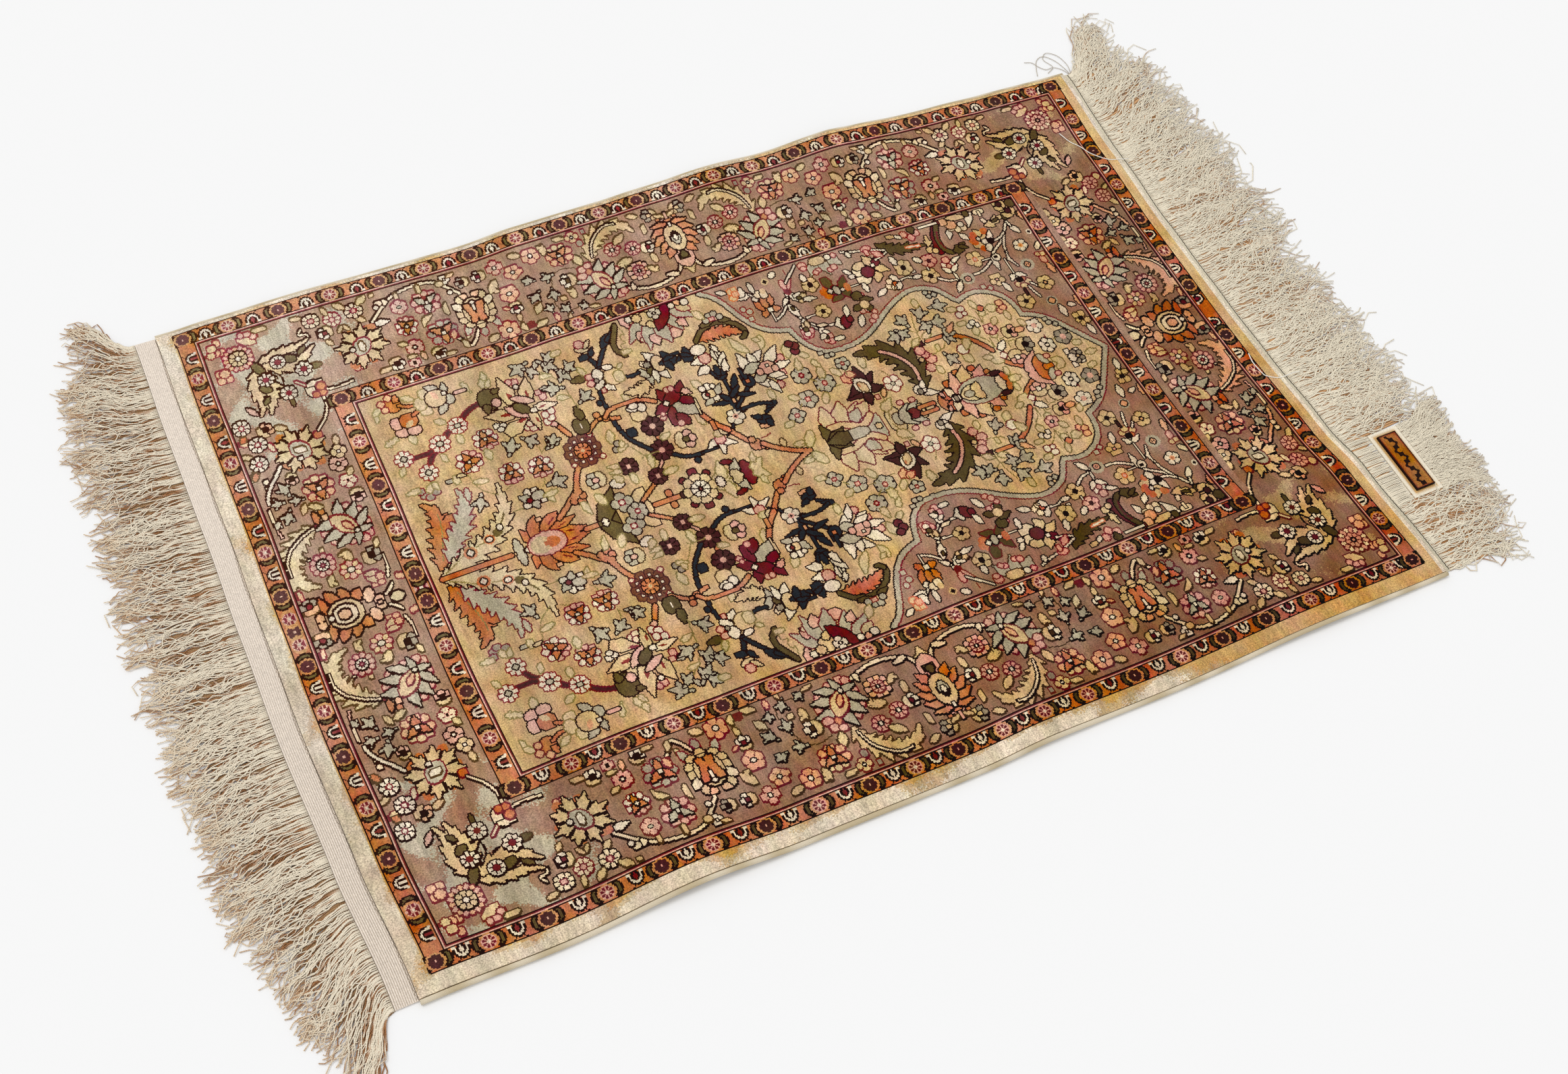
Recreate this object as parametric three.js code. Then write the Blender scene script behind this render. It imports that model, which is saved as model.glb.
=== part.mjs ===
// A knotted silk prayer rug lying flat: pile body, flat-woven ends, bound long edges, two fringes,
// and a small knotted panel on its own plain weave inside the right fringe.
// Millimetres, +X along the rug towards the point of its niche, +Y across it, +Z up.
// The underside is Z = 0 and the origin is the middle of the whole outline, fringes included.
import * as THREE from 'three';
import { mergeVertices } from 'three/addons/utils/BufferGeometryUtils.js';

// --- driving dimensions ---------------------------------------------------------------------
const GUARD_LENGTH = 860; // the outermost woven line of the border, end to end
const GUARD_WIDTH = 600;
const MARGIN = { left: 12.5, right: 12, near: 13, far: 2.5 }; // plain pile outside that line
const BODY_THICKNESS = 3.2; // pile and foundation together
const WEAVE_THICKNESS = 1.2; // flat-woven ends, without pile
const LEFT_WEAVE_WIDTH = 17;
const RIGHT_WEAVE_WIDTH = 5;
const CORD_RADIUS = 1.2; // the bound edge along each long side
const FRINGE_THICKNESS = 4;
const FRINGE_HEADER = 4; // undivided strip at the root of a fringe
const TEETH = 35; // clumps of threads in one fringe
const TOOTH_TIP_SHARE = 0.72; // a clump's tip against its root
const GAP = 0.3; // between pieces
const STATIONS_LONG = 36; // steps along the rug and across it
const STATIONS_WIDE = 24;
const CORD_SIDES = 8;

const PANEL = { reach: 19, width: 30, firstTooth: 4, teeth: 4 }; // plain weave in the right fringe
const PANEL_PILE = { inset: 5.5, thickness: 2 }; // the knotted block on it

// How far each edge of the guard line wanders from a straight one, outwards positive.
// Columns: place along the edge, drift.
const EDGE_DRIFT = {
  far: [[-430, -2], [-400, -0.5], [-300, 0.7], [-180, 0.5], [-125, 3.5], [-50, 6], [0, 8],
    [70, 9.5], [110, 8.5], [185, 10], [215, 8], [300, 4.5], [350, 2.5], [430, 0.5]],
  near: [[-430, -0.7], [-340, 1.5], [-230, -2], [-150, 0.5], [0, 2], [60, 0], [175, 1.5], [300, -1],
    [430, 0]],
  left: [[-300, 1], [-200, 6], [-90, 8.5], [0, 7], [100, 4.5], [200, 3.5], [300, 1]],
  right: [[-300, 0], [-200, -4.5], [-150, -10], [-50, -13.7], [0, -14], [100, -13], [200, -9],
    [300, -2.5]],
};

// Soft ripples that lift the cloth off the floor near its edges.
// Columns: middle along and across the rug, half length, half width, height.
const RIPPLES = [
  { x: -230, y: -318, halfLength: 85, halfWidth: 75, height: 3.5 },
  { x: 325, y: -316, halfLength: 95, halfWidth: 60, height: 2.2 },
  { x: 60, y: -318, halfLength: 60, halfWidth: 45, height: 1.2 },
  { x: 190, y: 322, halfLength: 70, halfWidth: 80, height: 3.5 },
  { x: 60, y: 320, halfLength: 60, halfWidth: 60, height: 2 },
  { x: -120, y: 316, halfLength: 60, halfWidth: 60, height: 1.6 },
  { x: -330, y: 312, halfLength: 70, halfWidth: 50, height: 1.2 },
];

// Columns: place along the fringe, how far its tips reach, how far they are swept sideways.
const LEFT_FRINGE = [
  { at: -306, reach: 44, sweep: -46 }, { at: -270, reach: 62, sweep: -24 },
  { at: -200, reach: 70, sweep: -8 }, { at: -100, reach: 74, sweep: -2 },
  { at: 0, reach: 74, sweep: 0 }, { at: 100, reach: 72, sweep: 2 },
  { at: 200, reach: 72, sweep: 4 }, { at: 270, reach: 64, sweep: 14 },
  { at: 302, reach: 38, sweep: 40 },
];
const RIGHT_FRINGE = [
  { at: -306, reach: 78, sweep: -4 }, { at: -250, reach: 90, sweep: 0 },
  { at: -160, reach: 95, sweep: 4 }, { at: -60, reach: 96, sweep: 4 },
  { at: 60, reach: 97, sweep: 10 }, { at: 160, reach: 98, sweep: 20 },
  { at: 240, reach: 94, sweep: 34 }, { at: 302, reach: 56, sweep: 52 },
];
const TOOTH_LENGTHS = [1, 0.93, 0.98, 0.9, 1.02, 0.95]; // neighbouring clumps differ a little

const MATERIALS = {
  pile: { color: 0xb59a76, roughness: 0.7 },
  weave: { color: 0xe3dac8, roughness: 0.8 },
  binding: { color: 0xcdc3ae, roughness: 0.75 },
  fringe: { color: 0xe2d6bf, roughness: 0.8 },
  panelPile: { color: 0xb8692f, roughness: 0.7 },
};

// --- where things lie -----------------------------------------------------------------------
const { lerp, clamp, smoothstep } = THREE.MathUtils;

// A smooth run through a table's rows: flat at each row, an eased step between two.
function readTable(rows, place, key, value) {
  const last = rows.length - 1;
  const found = rows.findIndex((row) => row[key] >= place);
  const next = found < 0 ? last : Math.max(found, 1);
  const from = rows[next - 1];
  const to = rows[next];
  return lerp(from[value], to[value], smoothstep(place, from[key], to[key]));
}

const drift = (edge, place) => readTable(EDGE_DRIFT[edge], place, 0, 1);

// The chart's straight-sided place (u along, v across) moved to where the cloth really lies:
// each edge's drift fades evenly to nothing at the opposite edge.
function plan(u, v) {
  const along = clamp(u / GUARD_LENGTH + 0.5, 0, 1);
  const across = clamp(v / GUARD_WIDTH + 0.5, 0, 1);
  return new THREE.Vector2(
    u - lerp(drift('left', v), 0, along) + lerp(0, drift('right', v), along),
    v - lerp(drift('near', u), 0, across) + lerp(0, drift('far', u), across),
  );
}

// Height of the underside: each ripple is a smooth mound, zero from its rim outwards.
function lift(point) {
  return RIPPLES.reduce((height, ripple) => {
    const dx = (point.x - ripple.x) / ripple.halfLength;
    const dy = (point.y - ripple.y) / ripple.halfWidth;
    return height + ripple.height * Math.max(0, 1 - dx * dx - dy * dy) ** 2;
  }, 0);
}

const PILE = {
  left: -GUARD_LENGTH / 2 - MARGIN.left,
  right: GUARD_LENGTH / 2 + MARGIN.right,
  near: -GUARD_WIDTH / 2 - MARGIN.near,
  far: GUARD_WIDTH / 2 + MARGIN.far,
};

// --- building blocks ------------------------------------------------------------------------
const rug = new THREE.Group();

function add(name, geometry, finish) {
  geometry.deleteAttribute('normal');
  geometry.deleteAttribute('uv');
  const closed = mergeVertices(geometry, 1e-4);
  closed.computeVertexNormals();
  const material = new THREE.MeshStandardMaterial({ ...MATERIALS[finish], metalness: 0 });
  const mesh = new THREE.Mesh(closed, material);
  mesh.name = name;
  rug.add(mesh);
}

// Moves every vertex of a geometry to place(vertex).
function reshape(geometry, place) {
  const positions = geometry.attributes.position;
  const vertex = new THREE.Vector3();
  for (let i = 0; i < positions.count; i += 1) {
    place(vertex.fromBufferAttribute(positions, i));
    positions.setXYZ(i, vertex.x, vertex.y, vertex.z);
  }
  return geometry;
}

// A sheet of even thickness over a chart rectangle, lying on the ripples.
function sheet({ left, right, near, far }, thickness, steps) {
  const box = new THREE.BoxGeometry(1, 1, 1, steps, STATIONS_WIDE, 1);
  return reshape(box, (vertex) => {
    const point = plan(lerp(left, right, vertex.x + 0.5), lerp(near, far, vertex.y + 0.5));
    vertex.set(point.x, point.y, lift(point) + (vertex.z > 0 ? thickness : 0));
  });
}

// A round cord laid against a long edge of the body; outward is -1 on the near side, 1 on the far.
function edgeCord(edge, outward) {
  const rod = new THREE.CylinderGeometry(CORD_RADIUS, CORD_RADIUS, 1, CORD_SIDES, STATIONS_LONG);
  const centre = outward * (GAP + CORD_RADIUS);
  return reshape(rod, (vertex) => {
    const point = plan(lerp(PILE.left, PILE.right, vertex.y + 0.5), edge);
    const height = lift(point) + CORD_RADIUS + vertex.z;
    vertex.set(point.x, point.y + centre - vertex.x, height);
  });
}

// The outline of a comb: a header along root points, then one blunt tooth after another.
// root(share) is a point of the header's inner edge, outward the way the teeth point, and
// tip(share) how far the tip there lies from its root, so that the teeth fan out with the sweep.
function combShape(root, outward, teeth, rootSteps, tip) {
  const points = [];
  for (let i = 0; i <= rootSteps; i += 1) points.push(root(i / rootSteps));
  const header = new THREE.Vector2(outward * FRINGE_HEADER, 0);
  const half = (0.5 * TOOTH_TIP_SHARE) / teeth;
  for (let i = teeth - 1; i >= 0; i -= 1) {
    const middle = (i + 0.5) / teeth;
    const length = TOOTH_LENGTHS[i % TOOTH_LENGTHS.length];
    points.push(root((i + 1) / teeth).add(header));
    for (const share of [middle + half, middle - half]) {
      points.push(root(share).addScaledVector(tip(share), length));
    }
  }
  points.push(root(0).add(header));
  return new THREE.Shape(points);
}

function combSolid(shape) {
  return new THREE.ExtrudeGeometry(shape, { depth: FRINGE_THICKNESS, bevelEnabled: false });
}

// --- pile body and flat-woven ends ----------------------------------------------------------
add('rug_body', sheet(PILE, BODY_THICKNESS, STATIONS_LONG), 'pile');

const leftWeave = { ...PILE, left: PILE.left - GAP - LEFT_WEAVE_WIDTH, right: PILE.left - GAP };
const rightWeave = { ...PILE, left: PILE.right + GAP, right: PILE.right + GAP + RIGHT_WEAVE_WIDTH };
add('end_weave_left', sheet(leftWeave, WEAVE_THICKNESS, 1), 'weave');
add('end_weave_right', sheet(rightWeave, WEAVE_THICKNESS, 1), 'weave');

// --- bound long edges -----------------------------------------------------------------------
add('selvedge_near', edgeCord(PILE.near, -1), 'binding');
add('selvedge_far', edgeCord(PILE.far, 1), 'binding');

// --- fringes --------------------------------------------------------------------------------
const across = (share) => lerp(PILE.near, PILE.far, share);

function sweptTip(rows, outward, share) {
  const place = across(share);
  const reach = readTable(rows, place, 'at', 'reach');
  return new THREE.Vector2(outward * reach, readTable(rows, place, 'at', 'sweep'));
}

// Header stations fall on the weave's own, so the gap between them stays even.
const leftRoot = (share) => plan(leftWeave.left - GAP, across(share));
const leftTip = (share) => sweptTip(LEFT_FRINGE, -1, share);
const rightRoot = (share) => plan(rightWeave.right + GAP, across(share));

// The panel stands square to the rug, so the threads that end at it differ a little in length.
const panelShares = [PANEL.firstTooth, PANEL.firstTooth + PANEL.teeth].map((i) => i / TEETH);
const panelCorners = panelShares.map(rightRoot);
const panelRootX = Math.max(...panelCorners.map((corner) => corner.x));
const panelDrift = panelRootX - Math.min(...panelCorners.map((corner) => corner.x));
const panelStart = panelRootX + PANEL.reach;

// The clumps that end at the panel are only as long as the bare threads before it.
function rightTip(share) {
  const endsAtPanel = share > panelShares[0] && share < panelShares[1];
  const short = new THREE.Vector2(PANEL.reach - panelDrift - 2 * GAP, 0);
  return endsAtPanel ? short : sweptTip(RIGHT_FRINGE, 1, share);
}

add('fringe_left', combSolid(combShape(leftRoot, -1, TEETH, STATIONS_WIDE, leftTip)), 'fringe');
add('fringe_right', combSolid(combShape(rightRoot, 1, TEETH, STATIONS_WIDE, rightTip)), 'fringe');

// --- the small panel in the right fringe ----------------------------------------------------
const [panelNear, panelFar] = panelCorners.map((corner) => corner.y);
const panelLength = panelFar - panelNear - 2 * GAP;
const panelMiddle = (panelNear + panelFar) / 2;

const panelWeave = new THREE.BoxGeometry(PANEL.width, panelLength, WEAVE_THICKNESS);
panelWeave.translate(panelStart + PANEL.width / 2, panelMiddle, WEAVE_THICKNESS / 2);
add('panel_weave', panelWeave, 'weave');

const pileWidth = PANEL.width - 2 * PANEL_PILE.inset;
const pileLength = panelLength - 2 * PANEL_PILE.inset;
const panelPile = new THREE.BoxGeometry(pileWidth, pileLength, PANEL_PILE.thickness);
const panelPileMiddle = WEAVE_THICKNESS + GAP + PANEL_PILE.thickness / 2;
panelPile.translate(panelStart + PANEL.width / 2, panelMiddle, panelPileMiddle);
add('panel_pile', panelPile, 'panelPile');

const tailRootX = panelStart + PANEL.width + GAP;
const tailRoot = (share) => {
  return new THREE.Vector2(tailRootX, lerp(panelNear + GAP, panelFar - GAP, share));
};
const tailReach = RIGHT_FRINGE[2].reach - PANEL.reach - PANEL.width;
const tailTip = () => new THREE.Vector2(tailReach, 0);
add('fringe_panel', combSolid(combShape(tailRoot, 1, PANEL.teeth, 1, tailTip)), 'fringe');

// --- the origin goes to the middle of the outline --------------------------------------------
const outline = new THREE.Box3().setFromObject(rug);
const middle = outline.getCenter(new THREE.Vector3());
rug.position.set(-middle.x, -middle.y, -outline.min.z);

export default rug;
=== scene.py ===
import bpy
import numpy as np
from mathutils import Matrix, Vector


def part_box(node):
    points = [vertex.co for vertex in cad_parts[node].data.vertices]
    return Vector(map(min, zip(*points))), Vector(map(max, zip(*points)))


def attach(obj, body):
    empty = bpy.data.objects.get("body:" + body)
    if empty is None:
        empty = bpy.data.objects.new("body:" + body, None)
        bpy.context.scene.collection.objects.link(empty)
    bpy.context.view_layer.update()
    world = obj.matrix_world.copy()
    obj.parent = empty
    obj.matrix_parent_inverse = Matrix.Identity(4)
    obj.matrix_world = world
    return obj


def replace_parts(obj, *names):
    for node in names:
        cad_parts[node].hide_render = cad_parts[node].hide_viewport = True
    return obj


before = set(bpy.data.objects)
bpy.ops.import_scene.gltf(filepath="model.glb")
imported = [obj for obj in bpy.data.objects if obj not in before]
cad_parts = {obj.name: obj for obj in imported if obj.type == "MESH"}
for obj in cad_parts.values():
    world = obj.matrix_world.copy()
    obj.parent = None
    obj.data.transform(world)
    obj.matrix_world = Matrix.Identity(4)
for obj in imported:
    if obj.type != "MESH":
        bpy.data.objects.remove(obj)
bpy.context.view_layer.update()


# ----- The knotted pattern ------------------------------------------------------------------------
# Everything here is in millimetres.  One knot is a cell 1 mm square.  The pattern is worked out for
# the near half of the rug, from its long axis (w 0) to the near edge, and mirrored to the far half.
# Motifs are placed by chart places (u, w): u to the right along the rug, w from its axis outward.

KNOT = 1.0
# The pile's two ends, its near and far sides and the width between them
PILE_LEFT, PILE_RIGHT = -442.5, 442.0
PILE_SIDE, FAR_SIDE = 313.0, 302.5
PILE_WIDTH = PILE_SIDE + FAR_SIDE
# The outer guard's line, before it drifts
GUARD_END, GUARD_SIDE = 430.0, 300.0

# How far the outer guard's line stands off a straight rectangle, outward positive on the near and
# far sides, and along +x on the left and right ends: (place along the side, drift).
EDGE_DRIFT = {
    "far": [(-430, -2), (-400, -0.5), (-300, 0.7), (-180, 0.5), (-125, 3.5), (-50, 6), (0, 8), (70, 9.5),
            (110, 8.5), (185, 10), (215, 8), (300, 4.5), (350, 2.5), (430, 0.5)],
    "near": [(-430, -0.7), (-340, 1.5), (-230, -2), (-150, 0.5), (0, 2), (60, 0), (175, 1.5),
             (300, -1), (430, 0)],
    "left": [(-300, 1), (-200, 6), (-90, 8.5), (0, 7), (100, 4.5), (200, 3.5), (300, 1)],
    "right": [(-300, 0), (-200, -4.5), (-150, -10), (-50, -13.7), (0, -14), (100, -13), (200, -9),
              (300, -2.5)],
}


def drift(side, place):
    """Drift of one side at those places: a smooth step, 3t^2 - 2t^3, between the listed rows."""
    rows = np.array(EDGE_DRIFT[side], float)
    i = np.clip(np.searchsorted(rows[:, 0], place) - 1, 0, len(rows) - 2)
    t = np.clip((place - rows[i, 0]) / (rows[i + 1, 0] - rows[i, 0]), 0, 1)
    return rows[i, 1] + (rows[i + 1, 1] - rows[i, 1]) * t * t * (3 - 2 * t)


def axis(u):
    """y of the pattern's long axis, which runs a little across the rug: -5 + 0.008 u."""
    return -5 + 0.008 * u


def on_rug(u, w, far):
    """Chart place (u, w) to the rug's flat place (x, y).

    y goes evenly from the axis at w 0 to the guard's drifted line, and x moves by the two ends'
    drifts, shared by the distance to each end.
    """
    edge = np.where(far, GUARD_SIDE + drift("far", u), -GUARD_SIDE - drift("near", u))
    y = axis(u) + (edge - axis(u)) * w / GUARD_SIDE
    share = np.clip(u / (2 * GUARD_END) + 0.5, 0, 1)
    return u - drift("left", y) * (1 - share) + drift("right", y) * share, y


# The pile's yarns, by the letter that the tables use: m gold, o orange, f sand, b brown, s ashen
# brown, g grey, k near black, r crimson, n plum, d olive, l dark olive, t russet, e pale olive,
# y straw, c cream, w white, p pink, x cloud grey, v maroon, h peach, q dull grey, i ink blue,
# j rust, z ivory, u apricot, A moss, C tan, T light tan.
YARNS = "mofbsgkrndlteycwpxvhqijzuACT"
CODE = {letter: number for number, letter in enumerate(YARNS)}

CELL_U = np.arange(PILE_LEFT, PILE_RIGHT, KNOT) + KNOT / 2
CELL_W = np.arange(0.0, PILE_SIDE, KNOT) + KNOT / 2
chart = np.full((len(CELL_W), len(CELL_U)), CODE["m"], np.uint8)


def window(points, reach):
    """The rows and columns of the knots within reach of the points' box, and their places."""
    low = (points.min(0) - reach - (CELL_U[0], CELL_W[0])) / KNOT
    high = (points.max(0) + reach - (CELL_U[0], CELL_W[0])) / KNOT
    cols = slice(int(max(low[0], 0)), int(max(high[0] + 2, 0)))
    rows = slice(int(max(low[1], 0)), int(max(high[1] + 2, 0)))
    u, w = np.meshgrid(CELL_U[cols], CELL_W[rows])
    return (rows, cols), u, w


# A motif that reaches past this row of the chart, or outside these columns, is the main border's.
BORDER_ROW = 192
BORDER_COLUMNS = (112, 773)


def grow(mask, deep):
    """The mask and the knots that touch it by a side or a corner; deep: two on its outer side."""
    out = mask.copy()
    out[1:] |= mask[:-1]
    if deep:
        out[2:] |= mask[:-2]
    out[:-1] |= mask[1:]
    wide = out.copy()
    wide[:, 1:] |= out[:, :-1]
    wide[:, :-1] |= out[:, 1:]
    return wide


def lay(place, mask, colour, line="k"):
    """Colours the mask's knots, with an outline of one knot, or one and two in the border."""
    area = chart[place]
    if line:
        low, high = BORDER_COLUMNS
        deep = place[0].stop > BORDER_ROW or place[1].start < low or place[1].stop > high
        area[grow(mask, deep)] = CODE[line]
    area[mask] = CODE[colour]


# Knots kept round a motif for its outline
SPARE = 2


def inside(points):
    """Knots inside a closed outline: where a line to the right crosses its edges an odd number of times."""
    place, u, w = window(points, SPARE)
    a = points[:, :, None, None]
    b = np.roll(points, -1, 0)[:, :, None, None]
    rise = np.where(b[:, 1] == a[:, 1], 1e-9, b[:, 1] - a[:, 1])
    across = (b[:, 0] - a[:, 0]) * (w - a[:, 1]) / rise + a[:, 0]
    return place, (((a[:, 1] > w) != (b[:, 1] > w)) & (u < across)).sum(0) % 2 == 1


def near_line(points, width):
    """Knots within half the width of a run of straight pieces: distance to each piece, the least kept.

    The width may be one number or one for each point, blended along each piece.
    """
    half = np.broadcast_to(np.asarray(width, float) / 2, len(points))
    place, u, w = window(points, SPARE + half.max())
    a, b = points[:-1, :, None, None], points[1:, :, None, None]
    d = b - a
    t = np.clip(((u - a[:, 0]) * d[:, 0] + (w - a[:, 1]) * d[:, 1]) / ((d ** 2).sum(1) + 1e-9), 0, 1)
    gap = np.hypot(u - a[:, 0] - t * d[:, 0], w - a[:, 1] - t * d[:, 1])
    limit = half[:-1, None, None] * (1 - t) + half[1:, None, None] * t
    return place, (gap <= limit).any(0)


def curved(points, steps=5):
    """A smooth run through the points: Catmull-Rom pieces, each split in equal steps."""
    p = np.asarray(points, float)
    ends = np.concatenate([p[:1] * 2 - p[1:2], p, p[-1:] * 2 - p[-2:-1]])[:, None]
    a, b, c, d = ends[:-3], ends[1:-2], ends[2:-1], ends[3:]
    t = (np.arange(steps) / steps)[None, :, None]
    run = 0.5 * (2 * b + (c - a) * t + (2 * a - 5 * b + 4 * c - d) * t ** 2
                 + (3 * b - a - 3 * c + d) * t ** 3)
    return np.concatenate([run.reshape(-1, 2), p[-1:]])


def turned(points, at, turn, size=1.0, flip=1):
    """Points of a motif's own drawing, scaled, turned by degrees and moved to at, a chart place.

    The motif's own first axis is its length; turn 0 points it to +u and 90 inward, to the rug's axis.
    Flip -1 mirrors it about its length.
    """
    c, s = np.cos(np.radians(turn)), np.sin(np.radians(turn))
    a, b = (np.asarray(points, float) * size).T
    return np.stack([a * c - flip * b * s, -a * s - flip * b * c], 1) + at


def leaf_outline(length, width, bend):
    """A leaf about its middle: half-width sin(pi t)^(3/4), moved sideways by 4 bend t (1 - t)."""
    t = np.linspace(0, 1, 10)
    half = width / 2 * np.sin(np.pi * t) ** 0.75
    side = 4 * bend * t * (1 - t)
    sides = np.stack([t * length, side + half], 1), np.stack([t * length, side - half], 1)[-2:0:-1]
    return np.concatenate(sides) - (length / 2, bend)


def petal_outline(length, width, bend):
    """A straight-sided petal about its middle: narrow foot, widest at two fifths, pointed tip."""
    t = np.array([0, 0.4, 1, 0.4, 0]) - 0.5
    half = np.array([0.3, 0.5, 0, -0.5, -0.3])
    return np.stack([t * length, half * width + bend * (1 - 4 * t ** 2) * (half != 0)], 1)


def pointed_outline(length, width, bend):
    """A petal of three points about its middle: the side points stand out at three fifths of it."""
    t = np.array([0, 0.3, 0.68, 0.58, 1, 0.58, 0.68, 0.3, 0]) - 0.5
    half = np.array([0.2, 0.3, 0.5, 0.26, 0, -0.26, -0.5, -0.3, -0.2])
    return np.stack([t * length, half * width + bend * (half == 0)], 1)


def saz_outline(spine, width, teeth):
    """A long toothed leaf on a smooth spine, from its foot to its tip.

    Its half-width at t is sin(pi t^0.8)^0.7 times a tooth's swell, 0.5 in each notch and 1.15 at
    each tip; the notch follows the tip at once, so that the teeth lean towards the leaf's tip.
    """
    run = curved(spine, 8)
    gone = np.concatenate([[0], np.cumsum(np.hypot(*np.diff(run, axis=0).T))])
    t = np.repeat(np.arange(teeth), 3) + np.tile([0, 0.55, 1.08], teeth)
    t = np.clip(t / teeth, 0, 1)
    at = np.stack([np.interp(t * gone[-1], gone, run[:, k]) for k in (0, 1)], 1)
    ahead = np.stack([np.interp(t * gone[-1] + 2, gone, run[:, k]) for k in (0, 1)], 1)
    behind = np.stack([np.interp(t * gone[-1] - 2, gone, run[:, k]) for k in (0, 1)], 1)
    along = ahead - behind
    along /= np.hypot(*along.T)[:, None] + 1e-9
    swell = np.tile([0.5, 0.72, 1.15], teeth)
    half = (width / 2 * np.sin(np.pi * np.clip(t, 0.02, 0.99) ** 0.8) ** 0.7 * swell)[:, None]
    across = np.stack([-along[:, 1], along[:, 0]], 1)
    return np.concatenate([at + across * half, (at - across * half)[::-1]])


def rosette(at, r, petals, colour, line, heart, core, other=None):
    """A round flower.

    Its edge is at r (1 - 0.2 (1 - |cos(n a / 2)|^0.6)); lines between the petals run out from a
    heart of a third of r, which is a ring of the heart's colour round a core.  Every second petal
    takes the other colour, where it is given.
    """
    place, u, w = window(at[None], r + SPARE)
    gap, a = np.hypot(u - at[0], w - at[1]), np.arctan2(at[1] - w, u - at[0])
    body = gap <= r * (1 - 0.2 * (1 - np.abs(np.cos(petals * a / 2)) ** 0.6))
    lay(place, body, colour, line)
    area = chart[place]
    if other:
        area[body & (np.floor(petals * a / (2 * np.pi) + 0.5) % 2 == 1)] = CODE[other]
    if r > 4.5:
        split = gap * np.abs(np.sin(np.mod(a * petals / 2 + np.pi / 2, np.pi)) * 2 / petals) < 0.55
        area[body & split & (gap > r * 0.3)] = CODE[line]
    area[gap <= r * 0.33 + 0.6] = CODE[heart]
    area[gap <= max(r * 0.33 - 0.7, 0.75)] = CODE[core]


def blossom(at, r, lobes, colour, line, heart, core):
    """A flower of round lobes: discs of 0.47 r set 0.58 r from its middle, and a small ringed eye."""
    place, u, w = window(at[None], r + SPARE)
    a = np.radians(90 + 360 * np.arange(lobes) / lobes)[:, None, None]
    gaps = np.sort(np.hypot(u - at[0] - 0.58 * r * np.cos(a), w - at[1] + 0.58 * r * np.sin(a)), 0)
    lay(place, gaps[0] < 0.47 * r, colour, line)
    middle = np.hypot(u - at[0], w - at[1])
    area = chart[place]
    if r > 5.5:
        area[(gaps[1] - gaps[0] < 0.7) & (middle > 0.3 * r) & (gaps[0] < 0.47 * r)] = CODE[line]
    area[middle < 0.27 * r + 0.7] = CODE[heart]
    area[middle < max(0.27 * r - 0.6, 0.75)] = CODE[core]


# ----- Motif notation -----------------------------------------------------------------------------
# One motif a row: its kind, its inks, its place "u,w" in millimetres, its sizes.  The inks are the
# fill and the outline, "-" for none.  Kinds:
#   L place length width turn [bend]    leaf about its middle
#   K place length width turn [bend]    straight-sided petal about its middle
#   P place length width turn [bend]    three-pointed petal about its middle
#   E place half-length half-width turn ellipse
#   D place radius, more of the same    round spots
#   S width places                      stem through the places
#   Z width teeth places                toothed leaf along a spine, foot first
#   R place radius petals [other ink]   rosette; inks petals, line, heart, core
#   B place radius lobes                blossom; inks as for R
# Any other kind is a motif of MOTIFS, drawn there about its own place 0,0 and pointing along its
# first axis, with "place size turn [flip]"; its inks stand in for the digits 1, 2, 3 of its rows.
# A "=" after the kind draws the row on both sides of the motif's own axis.


def pairs(words):
    """Numbers of "u,w" words."""
    return np.array([[float(n) for n in word.split(",")] for word in words])


def draw(table, at=(0, 0), turn=0.0, size=1.0, flip=None, inks=""):
    """Lays the motifs of a table in their order; flip None means that its places are chart places."""
    for row in table.strip().splitlines():
        kind, ink, *rest = row.split()
        for number, letter in enumerate(inks, 1):
            ink = ink.replace(str(number), letter)
        for side in (1, -1) if kind[-1] == "=" else (1,):
            draw_row(kind.rstrip("="), ink, rest, at, turn, size, flip and flip * side)


OUTLINES = {"L": leaf_outline, "K": petal_outline, "P": pointed_outline}


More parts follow.
